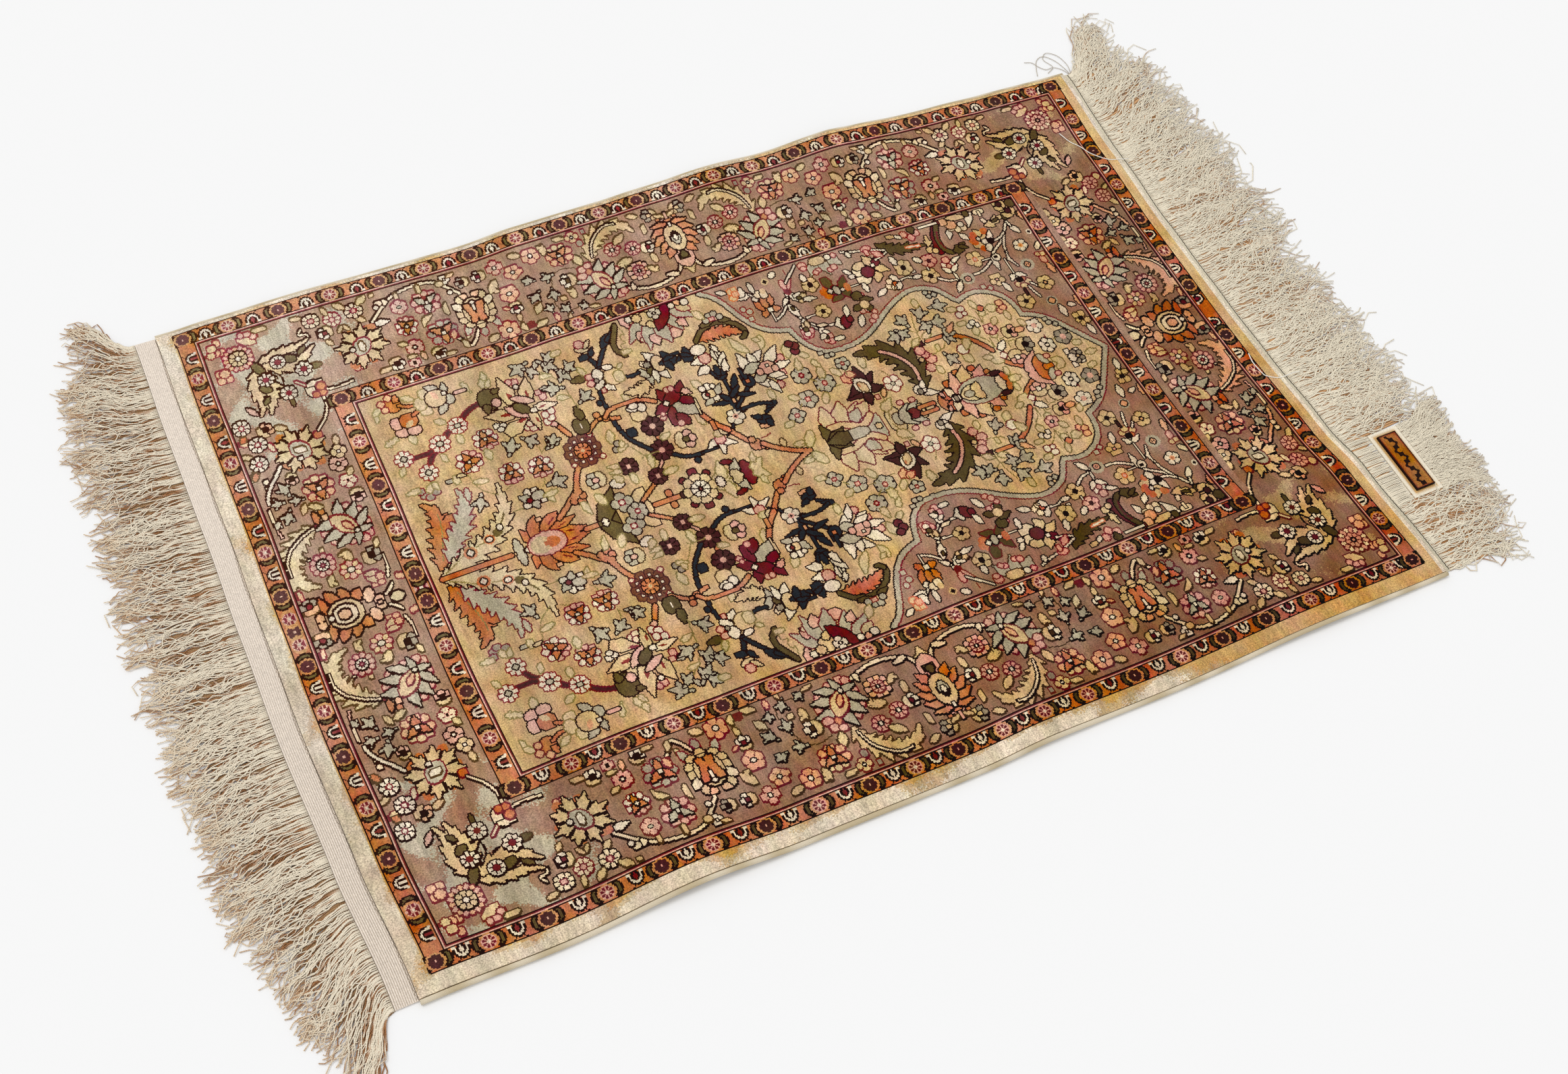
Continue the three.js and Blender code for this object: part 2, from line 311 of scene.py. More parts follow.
def draw_row(kind, ink, rest, at, turn, size, flip):
    """One row of a table, on one side of its motif's axis."""
    spots, numbers = pairs([n for n in rest if "," in n]), [n for n in rest if "," not in n]
    sizes = [float(n) for n in numbers if n not in CODE]
    hand = flip or 1
    if flip:
        spots = turned(spots, at, turn, size, flip)
    line = None if ink[1:2] == "-" else ink[1:2]
    if kind in OUTLINES or kind == "E":
        if kind == "E":
            a = np.radians(np.arange(0, 360, 15))
            outline = np.stack([sizes[0] * np.cos(a), sizes[1] * np.sin(a)], 1)
        else:
            bend = hand * sizes[3] if sizes[3:] else 0.0
            outline = OUTLINES[kind](*sizes[:2], bend)
        spin = turn + flip * sizes[2] if flip else sizes[2]
        lay(*inside(turned(outline, spots[0], spin, size)), ink[0], line)
    elif kind == "D":
        for spot, r in zip(spots, sizes):
            place, u, w = window(spot[None], r * size + SPARE)
            lay(place, np.hypot(u - spot[0], w - spot[1]) <= r * size, ink[0], line)
    elif kind == "S":
        lay(*near_line(curved(spots), max(sizes[0] * size, 1.0)), ink[0], line)
    elif kind == "Z":
        lay(*inside(saz_outline(spots, sizes[0] * size, int(sizes[1]))), ink[0], line)
    elif kind == "R":
        rosette(spots[0], sizes[0] * size, int(sizes[1]), *ink, *[n for n in numbers if n in CODE])
    elif kind == "B":
        blossom(spots[0], sizes[0] * size, int(sizes[1]), *ink)
    else:
        spin = turn + flip * sizes[1] if flip else sizes[1]
        draw(MOTIFS[kind], spots[0], spin, sizes[0] * size, hand * (int(sizes[2]) if sizes[2:] else 1),
             ink)


# The motifs that come more than once, or that have many parts.
MOTIFS = {
    # Leaf with a barb, 10 long
    "hook": """
L 12 0,0 10 5 0
L 12 2.6,2.2 4.6 2.4 75
L 1- 0,0 8 3.2 0""",
    # Three-lobed ivy leaflet, 10 long
    "ivy": """
S 1k 1.4 -5.5,0 0,0
K= 1k 0.8,2.6 6 3.4 62
K 1k 1.5,0 9 4.6 0
K= 1- 0.5,2.2 4.6 2 62""",
    # Flower seen from the side: crescent calyx 1, dark heart 3, three petals 2, 10 across
    "side": """
E 1l -1.4,0 2.9 3.9 0
D= 2k 1.9,2.6 1.8
D 2k 3.4,0 1.7
D 3k 0.6,0 1.3""",
    # Three orange petals 1 on a ring of round petals 2 and 3, 24 across
    "lily": """
D= 2v 5.5,7 3.1 -2,9 3.1
D= 3v -8,6 3 -10,0 2.6
D= 2v 8.8,1.8 2.3
K 1k 5.5,0 11 5.6 0
K= 1k -3.6,4.6 10.5 6 128
D wk 0,0 1.5""",
    # Lotus seen from the side, 1 its petals, tip towards its heart's point, 36 long
    "lotus": """
D= pv -9.5,2.6 3 -2,10.2 2.7 2.5,12.2 2.8 9,16 2.7 19.5,14.6 2.3 26.5,12 2
K= 1k -4.5,5.5 12 5.5 127
K= 1k 3.2,13 17 6.6 80
K= 1k 13,13.4 16 8.4 70
K= 1k 23.5,8.8 17 8.2 56
K= 1- 20,4 10 4 60
L yv 11.5,0 25 13 0
L hv 9,0 11 4 0
D wk 0,0 1.8""",
    # Star of eight pointed petals 1, a grey heart with a bud, 44 across
    "star": """
D= o- 10,13.5 3.4 -9.5,14.5 3
D o- 19.5,0 4 -20,0 4
P= 1k 13.4,5.4 17.5 10.5 22
P= 1k 5.4,12.6 17.5 10.5 67
P= 1k -5.6,12.6 17.5 10.5 113
P= 1k -13.6,5.4 18 10.5 158
E gv 0,0 9 6.6 0
L wl 0,0 10 5 35
D wk 5.5,-6 1.8""",
    # Pointed-oval palmette on a fan of orange petals, a bud at its tip, 70 long
    "fan": """
K yl 33.5,0 14.5 10 0
L pk 21.5,0 24 17 0
D= dk 21,2.3 2.3
K dk 18.3,0 8 7.5 180
K= ok -21.5,5 13 8 128
K= ok -16.5,10 14 9 98
K= ok -9,13.6 15 9.4 76
K= ok -0.5,14.6 15 9.4 62
K= ok 7.5,12.6 14 9 50
K= ok 14,9.6 13 8 36
E yk -1,0 14.6 8.8 0
L gk 0,0 14 8 0
L wk -1,0 7 4 0
D wk -16,0 1.7
K= pk -25,2.6 7 5 40
E pk -26.5,0 3.4 3 0""",
    # Palmette of round petals about a wishbone, 38 long
    "wishbone": """
L= gv 19,12 11 5.6 25
D= yk 14,8.2 3.7 8,12 3.7 1.5,12.8 3.6
D yk 17.5,0 3.5
L= ck -5.5,12.5 13 6.6 130
D= yk -13,9 3.6
L= hk -15.5,4.6 8 5 130
E yk 2,0 14 10 0
S= ok 5 11,3.5 7,2.5 1,4 -5,5.6
S= o- 4.6 11,3.5 7,2.5 1,4 -5,5.6
L wk -2.5,0 8 2.4 0
D wk -7.5,0 1.7""",
    # End palmette: an eye on orange petals, with a peach bud at its tip, 66 long
    "eye": """
L ek 40,0 12 8 0
D= hk 26,2.6 3.6
L= hk 20,9 14 8 76
L= ok 12,12.2 12 7.6 70 1
L= ok 3.5,16.4 13 7 118 1
L= ok -6,16.2 15 7.6 128 1
L= ok -13.8,11.5 17 5.4 100
D= hk -19.5,3.4 3.2
E yk 0,0 13.6 12.3 0
E ck -0.5,0 9.4 8 0
E hk -1,0 4.6 3.8 0
D wk -11.5,0 1.8""",
}


# ----- Bands and guards ---------------------------------------------------------------------------

# Each band: its outer line (left, right, near) and the line where the next ground starts.
OUTER_GUARD = ((-GUARD_END, GUARD_END, GUARD_SIDE), (-411.5, 413, 283.4))
INNER_GUARD = ((-329.5, 333.5, 196.3), (-311, 316.5, 178.6))


def block(left, right, near, colour):
    """Everything from the axis to near, between left and right."""
    chart[np.ix_(CELL_W < near, (CELL_U > left) & (CELL_U < right))] = CODE[colour]


def band(guard):
    """A guard band round what is already inside it: dark, orange, dark, rose, maroon, dark."""
    (left, right, near), (left_in, right_in, near_in) = guard
    ground = np.ix_(CELL_W < near_in, (CELL_U > left_in) & (CELL_U < right_in))
    kept = chart[ground]
    block(left, right, near, "k")
    block(left + 1.3, right - 1.3, near - 1.3, "o")
    for step, colour in (4, "k"), (3, "p"), (2, "v"), (1, "k"):
        block(left_in - step, right_in + step, near_in + step, colour)
    chart[ground] = kept


def guard_motif(kind, at, turn, crescents):
    """One motif of a guard: D dark or L light rosette, T dark or t light tulip opening inward.

    Worked out on the motif's own axes, a along the band and b inward.  A rosette is a disc with a
    scalloped edge, and its two crescents are what an ellipse beside it keeps outside a circle round
    it.  A tulip is a pointed heart in a cup, the band between two ellipses below a slant.
    """
    at = np.array(at, float)
    place, u, w = window(at[None], 15)
    c, s = np.cos(np.radians(turn)), np.sin(np.radians(turn))
    a = (u - at[0]) * c - (w - at[1]) * s
    b = -(u - at[0]) * s - (w - at[1]) * c
    area = chart[place]
    gap, angle = np.hypot(a, b), np.arctan2(b, a)
    if kind in "DL":
        area[(a / 8.6) ** 2 + (b / 6.2) ** 2 < 1] = CODE["u"]
        for side in crescents:
            lens = (((a - side * 7.4) / 5) ** 2 + (b / 6.8) ** 2 < 1) & (gap > 7.1)
            area[lens] = CODE["k"]
            core = (((a - side * 7.6) / 3.4) ** 2 + (b / 4.4) ** 2 < 1) & (gap > 8.6)
            area[core] = CODE["d"]
    if kind == "D":
        area[gap < 5.6 - 0.7 * (np.abs(np.cos(4 * angle)) < 0.5)] = CODE["n"]
        area[gap < 0.9] = CODE["p"]
    elif kind == "L":
        area[gap < 5.4] = CODE["p"]
        area[(gap < 4.9) & (gap > 1.7) & (np.abs(np.sin(4 * angle)) > 0.5)] = CODE["v"]
        area[gap < 1.2] = CODE["w"]
    else:
        cup = ((a / 6.4) ** 2 + ((b - 2) / 7.2) ** 2 < 1) & (b < 4.6)
        bell = ((a / 4.6) ** 2 + ((b - 2.4) / 6) ** 2 < 1) & (b < 4.6)
        throat = ((a / 3.3) ** 2 + ((b - 2.8) / 4.8) ** 2 < 1) & (b < 4.9)
        lips = (np.abs(np.abs(a) - 5) < 1.2) & (np.abs(b - 4.2) < 0.9)
        legs = np.abs(np.abs(a) + 1.3 * (b + 3.6) - 1.2) < 0.6
        area[cup | (legs & (b < -2) & (b > -6.5))] = CODE["k"]
        area[bell | lips] = CODE["w"]
        area[throat] = CODE["k"]
        area[((a / 1.1) ** 2 + ((b - 1.8) / 3.4) ** 2 < 1)] = CODE["w" if kind == "t" else "r"]


# The guards' motifs in order, by their place along the side.
NEAR_OUTER = """D-423 t-404 L-385 T-364 D-342 t-318 L-297 T-274 D-254 t-234 L-214 T-192 D-172 t-152 L-129
    T-107 D-87 t-67 L-49 T-31 D-12 t8 L27 T46 L65 t83 L104 T125 D147 t169 L191 T211 D231 t252 D274
    T297 L318 t338 D360 T381 L400 t410.5 D421.5"""
NEAR_INNER = """D-321 t-299 L-276 T-257 D-237 t-215 L-194 T-174 D-154 t-132 L-111 T-90 D-71 t-51 L-31
    T-11 D9.5 t28 L47.5 T67 D87 t107 L127 T148 D169 t190 L210 T230 D250 t270 L290 T311 D325.5"""
LEFT_OUTER = "D0 L12 D32.5 t53 L74 T94 D116 t138 L162 T182.5 D206 t227 L250 T271"
RIGHT_OUTER = "T14.5 D30.5 t52 L74 T95.5 D116 t136.5 L159.5 T181 D204.5 t226 L247.5 T270"
LEFT_INNER = "L0 D13 t33 L56.5 T79 D99.5 t120 L143.5 T166"
RIGHT_INNER = "T0 D15 t36 L58 T79 D101 t122 L143 T163.5"


def run_guard(motifs, line, turn):
    """A guard's motifs along one side, at that distance across it; ends run from the axis outward."""
    for word in motifs.split():
        along = float(word[1:])
        at = (along, line) if turn == 0 else (line, along)
        crescents = (-1, 1)
        if abs(line) > 400 and abs(along) < 14:
            crescents = ()
        if turn == 0 and along > 395 and word[0] == "L":
            crescents = (-1,)
        guard_motif(word[0], at, turn, crescents)


def guards():
    """The two guard bands' motifs, after everything inside them."""
    run_guard(LEFT_OUTER, -421.7, -90)
    run_guard(RIGHT_OUTER, 422.3, 90)
    run_guard(NEAR_OUTER, 292.4, 0)
    run_guard(LEFT_INNER, -321, -90)
    run_guard(RIGHT_INNER, 325.8, 90)
    run_guard(NEAR_INNER, 188.4, 0)


def margins():
    """The plain pile outside the guards: ivory, with golden clouds and a pale right edge. The ivory and the
    light tan are painted sheen, the golden yarn paled where its nap catches the light.

    The golden clouds are where a sum of crossed sines and a fixed scatter passes a limit.  It comes down
    towards the right end, where nearly all of the margin is golden, and evenly over the last 8 mm before the
    guard's line.
    """
    u, w = np.meshgrid(CELL_U, CELL_W)
    ring = (np.abs(u) > GUARD_END) | (w > GUARD_SIDE)
    scatter = np.random.default_rng(5).normal(0, 0.3, chart.shape)
    cloud = (np.sin(u / 13 + 1.6 * np.sin(w / 17)) + np.sin(w / 11 + 1.9 * np.sin(u / 23))
             + 0.4 * np.sin((u + w) / 4.7) + scatter)
    beside = 1 - np.clip(np.maximum(np.abs(u) - GUARD_END, w - GUARD_SIDE) / 8, 0, 1)
    # Painted sheen: the higher this sum, the less the sheen pales the golden yarn to tan or ivory
    less_sheen = 0.6 * cloud + 2.4 * np.clip(u / 150 - 0.7, 0, 1.4) + 1.2 * beside
    chart[ring] = CODE["z"]
    chart[ring & (less_sheen > 0.9)] = CODE["T"]
    chart[ring & (less_sheen > 1.7)] = CODE["m"]
    chart[:, CELL_U > PILE_RIGHT - 3.5] = CODE["z"]

# ----- Main border --------------------------------------------------------------------------------

LONG_BORDER = """
S ck 2.2 11.5,213 15,207.5 20,204 27,201.5 38,199.5 48,200 56,202.5 65,206.5
K ck 23.5,206 13 4.6 -12
K ck 59.5,206.5 7 4.4 -100
fan -- 5.3,241 1 90
side yqy 18,272.5 1.45 -5
L yl 11,268.5 8 3 -30
L yl 33.5,277 10 5 -20
L yl 28.5,260 11.5 4.6 80
R pkrp 49,220 9.8 10 h
R pvkw 49,220 5 8
hook yl 36.5,217.5 1 140
hook yl 57,233 1.4 15
L yl 31,228 11 5 -80
side cwv 33,241 1.3 170
R pvkw 45.5,244.5 6.6 8
R pvkw 62.5,249.5 6.6 8
L yl 53.5,258.5 13 6 38
lotus g- 76,212 1 -58
D ov 90.5,235 2.7
D pv 97,232.5 3.3 95.5,239 3 89.5,241.5 3
L yl 95,250 12 6.6 -80
side ywl 109,233 1.5 0
hook yl 110.3,219 1.15 -95
ivy gk 106,203 0.95 -30
ivy gk 122,206 1.1 -65
ivy gk 135,211 0.95 -75
ivy gk 126.5,224 1.15 85
ivy gk 126,243 1.1 10
ivy gk 142,227 1.15 45
ivy gk 142,245.5 0.95 -20
L yl 98.5,199.5 9 3 -20
L yl 122,197 6 2.6 70
L hv 132.5,200.5 8 3.4 85
L yl 146.5,199.5 11 5 20
L el 143.8,215 11 5 60
L yl 120,217 6.5 4 -40
S l- 1 112,204 118,203
S l- 1 128,207 129,216
S l- 1 100,244 110,246.5 118,245
S l- 1 123,239 125,232
Z yl 19 8 83,244 82,254 76,264 66,271.5 54,274.5 44,270 38,261.5
S k- 3 51,275.5 54,276.5
S ck 1.3 52,276 58,277 65,274.5 72,269 77,263 80,256 82,249
D qv 87,267 3 80,278 2
B yvkw 91.5,275.5 5.6 4
L yl 103,278 10 4.5 -12
lily ohy 108,261 0.95 95
hook yl 119.5,272 1.15 -95
B hvkw 132,270 7.8 5
L yl 145,275 11 5 -20
B hvkw 151,259.5 7.2 5
E v- 155,202 4 4 0
D v- 153,200 2.4 157,200 2.4
L yl 162,202 9 4.4 -80 1
B hvkw 174.5,204 8.4 6
L yl 189,201 10 5 25
S ck 2 198,214 203,205.5 208.5,200.5 211.5,204.5 217,213
L el 212.6,204 8.5 4.4 -70
L el 208,211.5 6 3 80
L yl 161.8,213 8 4 85
side ywv 161,224 1.3 90
L hv 169,225.5 5 2.6 -30
B hvkw 161.5,239.5 8.2 5
L qv 193.3,210.5 9 5.6 80
wishbone -- 193.5,236 1 90
hook yl 172,252 1.5 60
lily oqg 226,221.5 1.02 92
L hv 218.5,217 9 5 75
S ck 2.2 200,256 205,262 210,268 216,273.5 222,276.5 232,277.7 242,276.3 250,274.5 258,271 265,265 278,253
D wk 207.5,260 1.8
D ck 262.5,269 2.6 267.5,269.5 2.9
D wk 270.7,266 1.8
B wkkw 208,275 4.6 5
D yl 213.5,271.5 2.8
L yl 202,277.5 7 3.6 20
side ywv 180,267.5 1.25 0
side yqk 194.5,266.5 1.15 0
B pvkw 164.5,270.5 7 4
lily gpp 229.5,256.5 0.98 88
D v- 223.5,256 1.6 230.5,262 1.6
L yl 232,272.5 9 4 90
L yl 251,271 8 4 90
B pvkw 252.5,216 7 6
L yl 261,222 9 4.5 -25
side ywk 236,203.5 1.2 120
L yl 227.5,199.5 9 3.6 0
L hl 248.3,205 8 3.6 -80
B pvkk 258,201 4.6 4
L yl 258,207.5 8 4 0
side ywk 272,205.5 1.35 110
L yl 282,202 11 4.6 12
lily owp 252,238.5 0.76 80
L yl 235.5,239.5 14 4 50 -2.5
L yl 216.5,244.5 14 4.6 85 -1.5
B pvkg 252,260 6.4 6
L yl 285,259 9 5 -50
R ckvp 288,269.7 7.6 8
R cvvp 307.5,267 7 8
R ckvp 324,271.5 6.9 8
L yl 279.5,278 11 5 40
L yl 298.5,278 11 5 -40
L yl 270.5,279.5 5 3 20
L yl 311.5,277 9 4 -70
L yl 335,278 9 4 -12
K wk 269.5,249.7 12 6 176
D ov 278.5,242.8 2.2 284,242.8 2.2 279.5,247.5 2.2 285,247.5 2.2
D hv 297.5,212.5 2.2 302.5,212.5 2.2
star yk 292.3,232 1 55
"""

CORNER = """
L yl 299,255 7 3 -55
L yl 304,255 7 3 55
side ywv 316,256 1.35 20
L yl 316,245 8 3.4 -60
S ck 1.6 310,202 320,200.7 326,200.7 333,202.3
S ck 1.8 336,184 336.2,198
L ck 344,206 17 7.4 85 -1
K ck 339,211.5 13 5 -170
D ov 335.5,200 2.7 341,199.5 2.4 335,206.5 3.2
S cv 1.4 347,212 352.5,217.5
L dk 361,200 9.5 3.6 90
L dl 332.5,227.5 10 4.4 180
S k- 1.3 348,228 352,227.3 357,229 359,232.5 365,234.5 361.5,226 362,218 361,213
S k- 1.3 362,217 368,215 367.5,208
Z yk 15 6 377,242 374,228 372,216 376,204 379.5,194.5
Z yk 11 5 377,242 383,230 384,217 382,206 388,195
L pk 393,202 12 4 -55
Z yk 13 6 375,245.5 362,237 350,235 341,238 328,248
Z yk 9 6 375,245.5 364,250 350,251 338,252 329,257
E dk 376,219.5 4.6 3.4 -40
L dk 378.8,208 9 3.6 50
E dk 376,241 3.2 7.5 25
E dk 351,242 6 3.6 -20
L dk 339,246.5 10 3.8 38
S ck 1.3 329.5,257 331.5,260.5 337,261.5 334,266.5
R wkvv 361,209.5 6.6 8
R wkvv 342.5,228 6.6 8
R wkvv 373.5,228.5 6.2 8
R wkvv 360.5,242 6.2 8
D hv 401,240 3.4 406.5,240 3.4 407,247 3 402.5,246 3.6
D hv 399,268 3 404,268.5 3.6 401,278 3
D yv 408,267.5 3 406,274 3.4
L yv 377.5,271.5 17 7 -30
D pv 371,274.3 2.4 375.3,278 2.4 380.5,278.5 2.4
L yl 365,279 12 5 -5
R cvkp 388.5,257 12.4 16 p
R pvkp 388.5,257 6.6 8
"""

END_BORDER = """
S ck 1.8 343,12 346,8.5 351,4.5
eye -- 383,0 1 180
side hqv 406.5,15 1.5 -75
L hv 410,27 9 3.6 -80
L hv 335.5,16 8 4.6 150
D hv 350,16 2.3 355.5,16 2.5
L yv 356.5,22.5 12 6 -60
L yv 355,26 12 4 -5
D hv 349.5,21.5 2.5
S ck 1.6 344,19 341.3,27 341,38
side yqk 350,40.5 1.6 205
L yl 342.5,50.5 8 4.4 65
R pvkw 367.5,35 7.8 8 y
hook yl 384,31 1.05 75
hook yl 366.5,48 1.15 -70
L yl 383,58 7 3.4 80
R pvkw 386,46.5 9.6 10
R wkvp 386,46.5 4.6 8
S ck 1 393.5,54 398,57 399,61.5
Z hl 20 9 380,80 391,77.5 401,69 408,58 409,44 403,34 393,29
S ck 1.4 411,46 411,56 406.5,66 397,74 388,78.5 380,81
S pk 1.2 407.5,81 409,88
lotus g- 352.5,66.5 1 -50 -1
L hk 371.5,87 6.5 4.4 80
L ok 378.4,88.5 11 5 -88
D ok 372.5,92.5 2.4
L yl 375,98.5 12 5 -25
L yl 384,99.5 11 4 60
side ypk 342,97.5 1.3 90
ivy gk 397.5,97 1.25 60
ivy gk 407,93.5 0.8 60
S ck 1.6 409.3,97 409.3,108
ivy gk 387,109.5 1 -10
ivy gk 401.5,111.5 1 -5
ivy gk 392.5,122 1.25 -70
S hk 2.2 407.5,114 405,122 400,130 394,137 388.5,144
D ck 403.3,128 2 403.3,134 2
B cvpk 344.5,112.5 6.4 5
L yl 340,120 8 4.4 60
lily ohy 367.5,113.5 0.98 92
B pkkw 346.5,130 7 5
B ykkw 342.5,141 6.2 4
L yl 341,152 8.5 4.4 80
side ypk 383.5,130 1.1 80
L ok 383.3,142 9 4.4 -35
star yk 369.5,153.5 1 125
D jv 352.5,162 3.2
L yl 409,143 12 5 60
L yl 409.3,160.7 9 4 -45
L cv 389.5,164 10 3.2 -75
L yl 377.5,179 10 5 -20
D yv 408,175.5 3.2
R pvvp 403,152 6.9 8
R pvvp 398.5,170.3 7.2 8
side yhk 389.5,181 1.4 215
S ck 1.5 336.3,190 338,183 343,174 351,166
"""


# The left end's own motifs over the mirrored ones: where they are whiter than the right end's, that is
# painted sheen, the paler look of the pile at this end
LEFT_END = """
R hvkp -386.5,257 12.4 16 p
R ykkw -386.5,257 7.2 8
R wkvw -401.3,152 6.9 8
R wkvw -396.7,170.3 7.2 8
R wkvw -404,190 7 8
L ol -407.5,141.5 8 4.6 -60
L ol -406,178.5 7 4.4 -60
S wk 2.2 -405.9,114 -403.3,122 -398.2,130 -392,137 -386.5,144
"""


def clouds():
    """Pale clouds on what is left of the border's ground by its corners, wider at the left end.

    They are where a sum of crossed sines and a fixed scatter, less a fall of 1 for every 30 mm from
    the big leaf's middle, passes a limit.
    """
    u, w = np.meshgrid(CELL_U, CELL_W)
    scatter = np.random.default_rng(2).normal(0, 0.3, chart.shape)
    wave = np.sin(u / 8 + 1.7 * np.sin(w / 10)) + np.sin(w / 7 + 1.9 * np.sin(u / 12))
    fall = np.hypot((np.abs(u) - 358) / 1.2, w - 226) / 30
    for side, limit, colour in (u < 0, -0.95, "x"), (u > 0, -0.4, "C"):
        chart[(chart == CODE["b"]) & side & (wave + scatter - fall > limit)] = CODE[colour]


# The place along the long side where the border's halves mirror each other
BORDER_MIDDLE = 5.3


def border():
    """The main border: its right half from the tables, and its left half the right half's mirror image.

    The left half is a little longer, so each of its columns takes the column that an even stretch sends it
    to.  The large leaf and some flowers are paler at the left end: painted sheen, the lighter look that the
    pile's nap gives that end.
    """
    for table in LONG_BORDER, CORNER, END_BORDER:
        draw(table)
    left_line, right_line, near_side = OUTER_GUARD[1]
    left = (CELL_U < BORDER_MIDDLE) & (CELL_U > left_line)
    stretch = (right_line - BORDER_MIDDLE) / (BORDER_MIDDLE - left_line)
    twin = np.minimum(BORDER_MIDDLE + (BORDER_MIDDLE - CELL_U[left]) * stretch, right_line - 1)
    columns = np.clip(((twin - CELL_U[0]) / KNOT + 0.5).astype(int), 0, len(CELL_U) - 1)
    rows = CELL_W < near_side
    chart[np.ix_(rows, left)] = chart[np.ix_(rows, columns)]
    # Painted sheen: the big leaf's peach paled to pale olive at the left end
    leaf = np.ix_((CELL_W > 28) & (CELL_W < 86), CELL_U < -372)
    chart[leaf] = np.where(chart[leaf] == CODE["h"], CODE["e"], chart[leaf])
    draw(LEFT_END)
    clouds()


# ----- Field and spandrels ------------------------------------------------------------------------

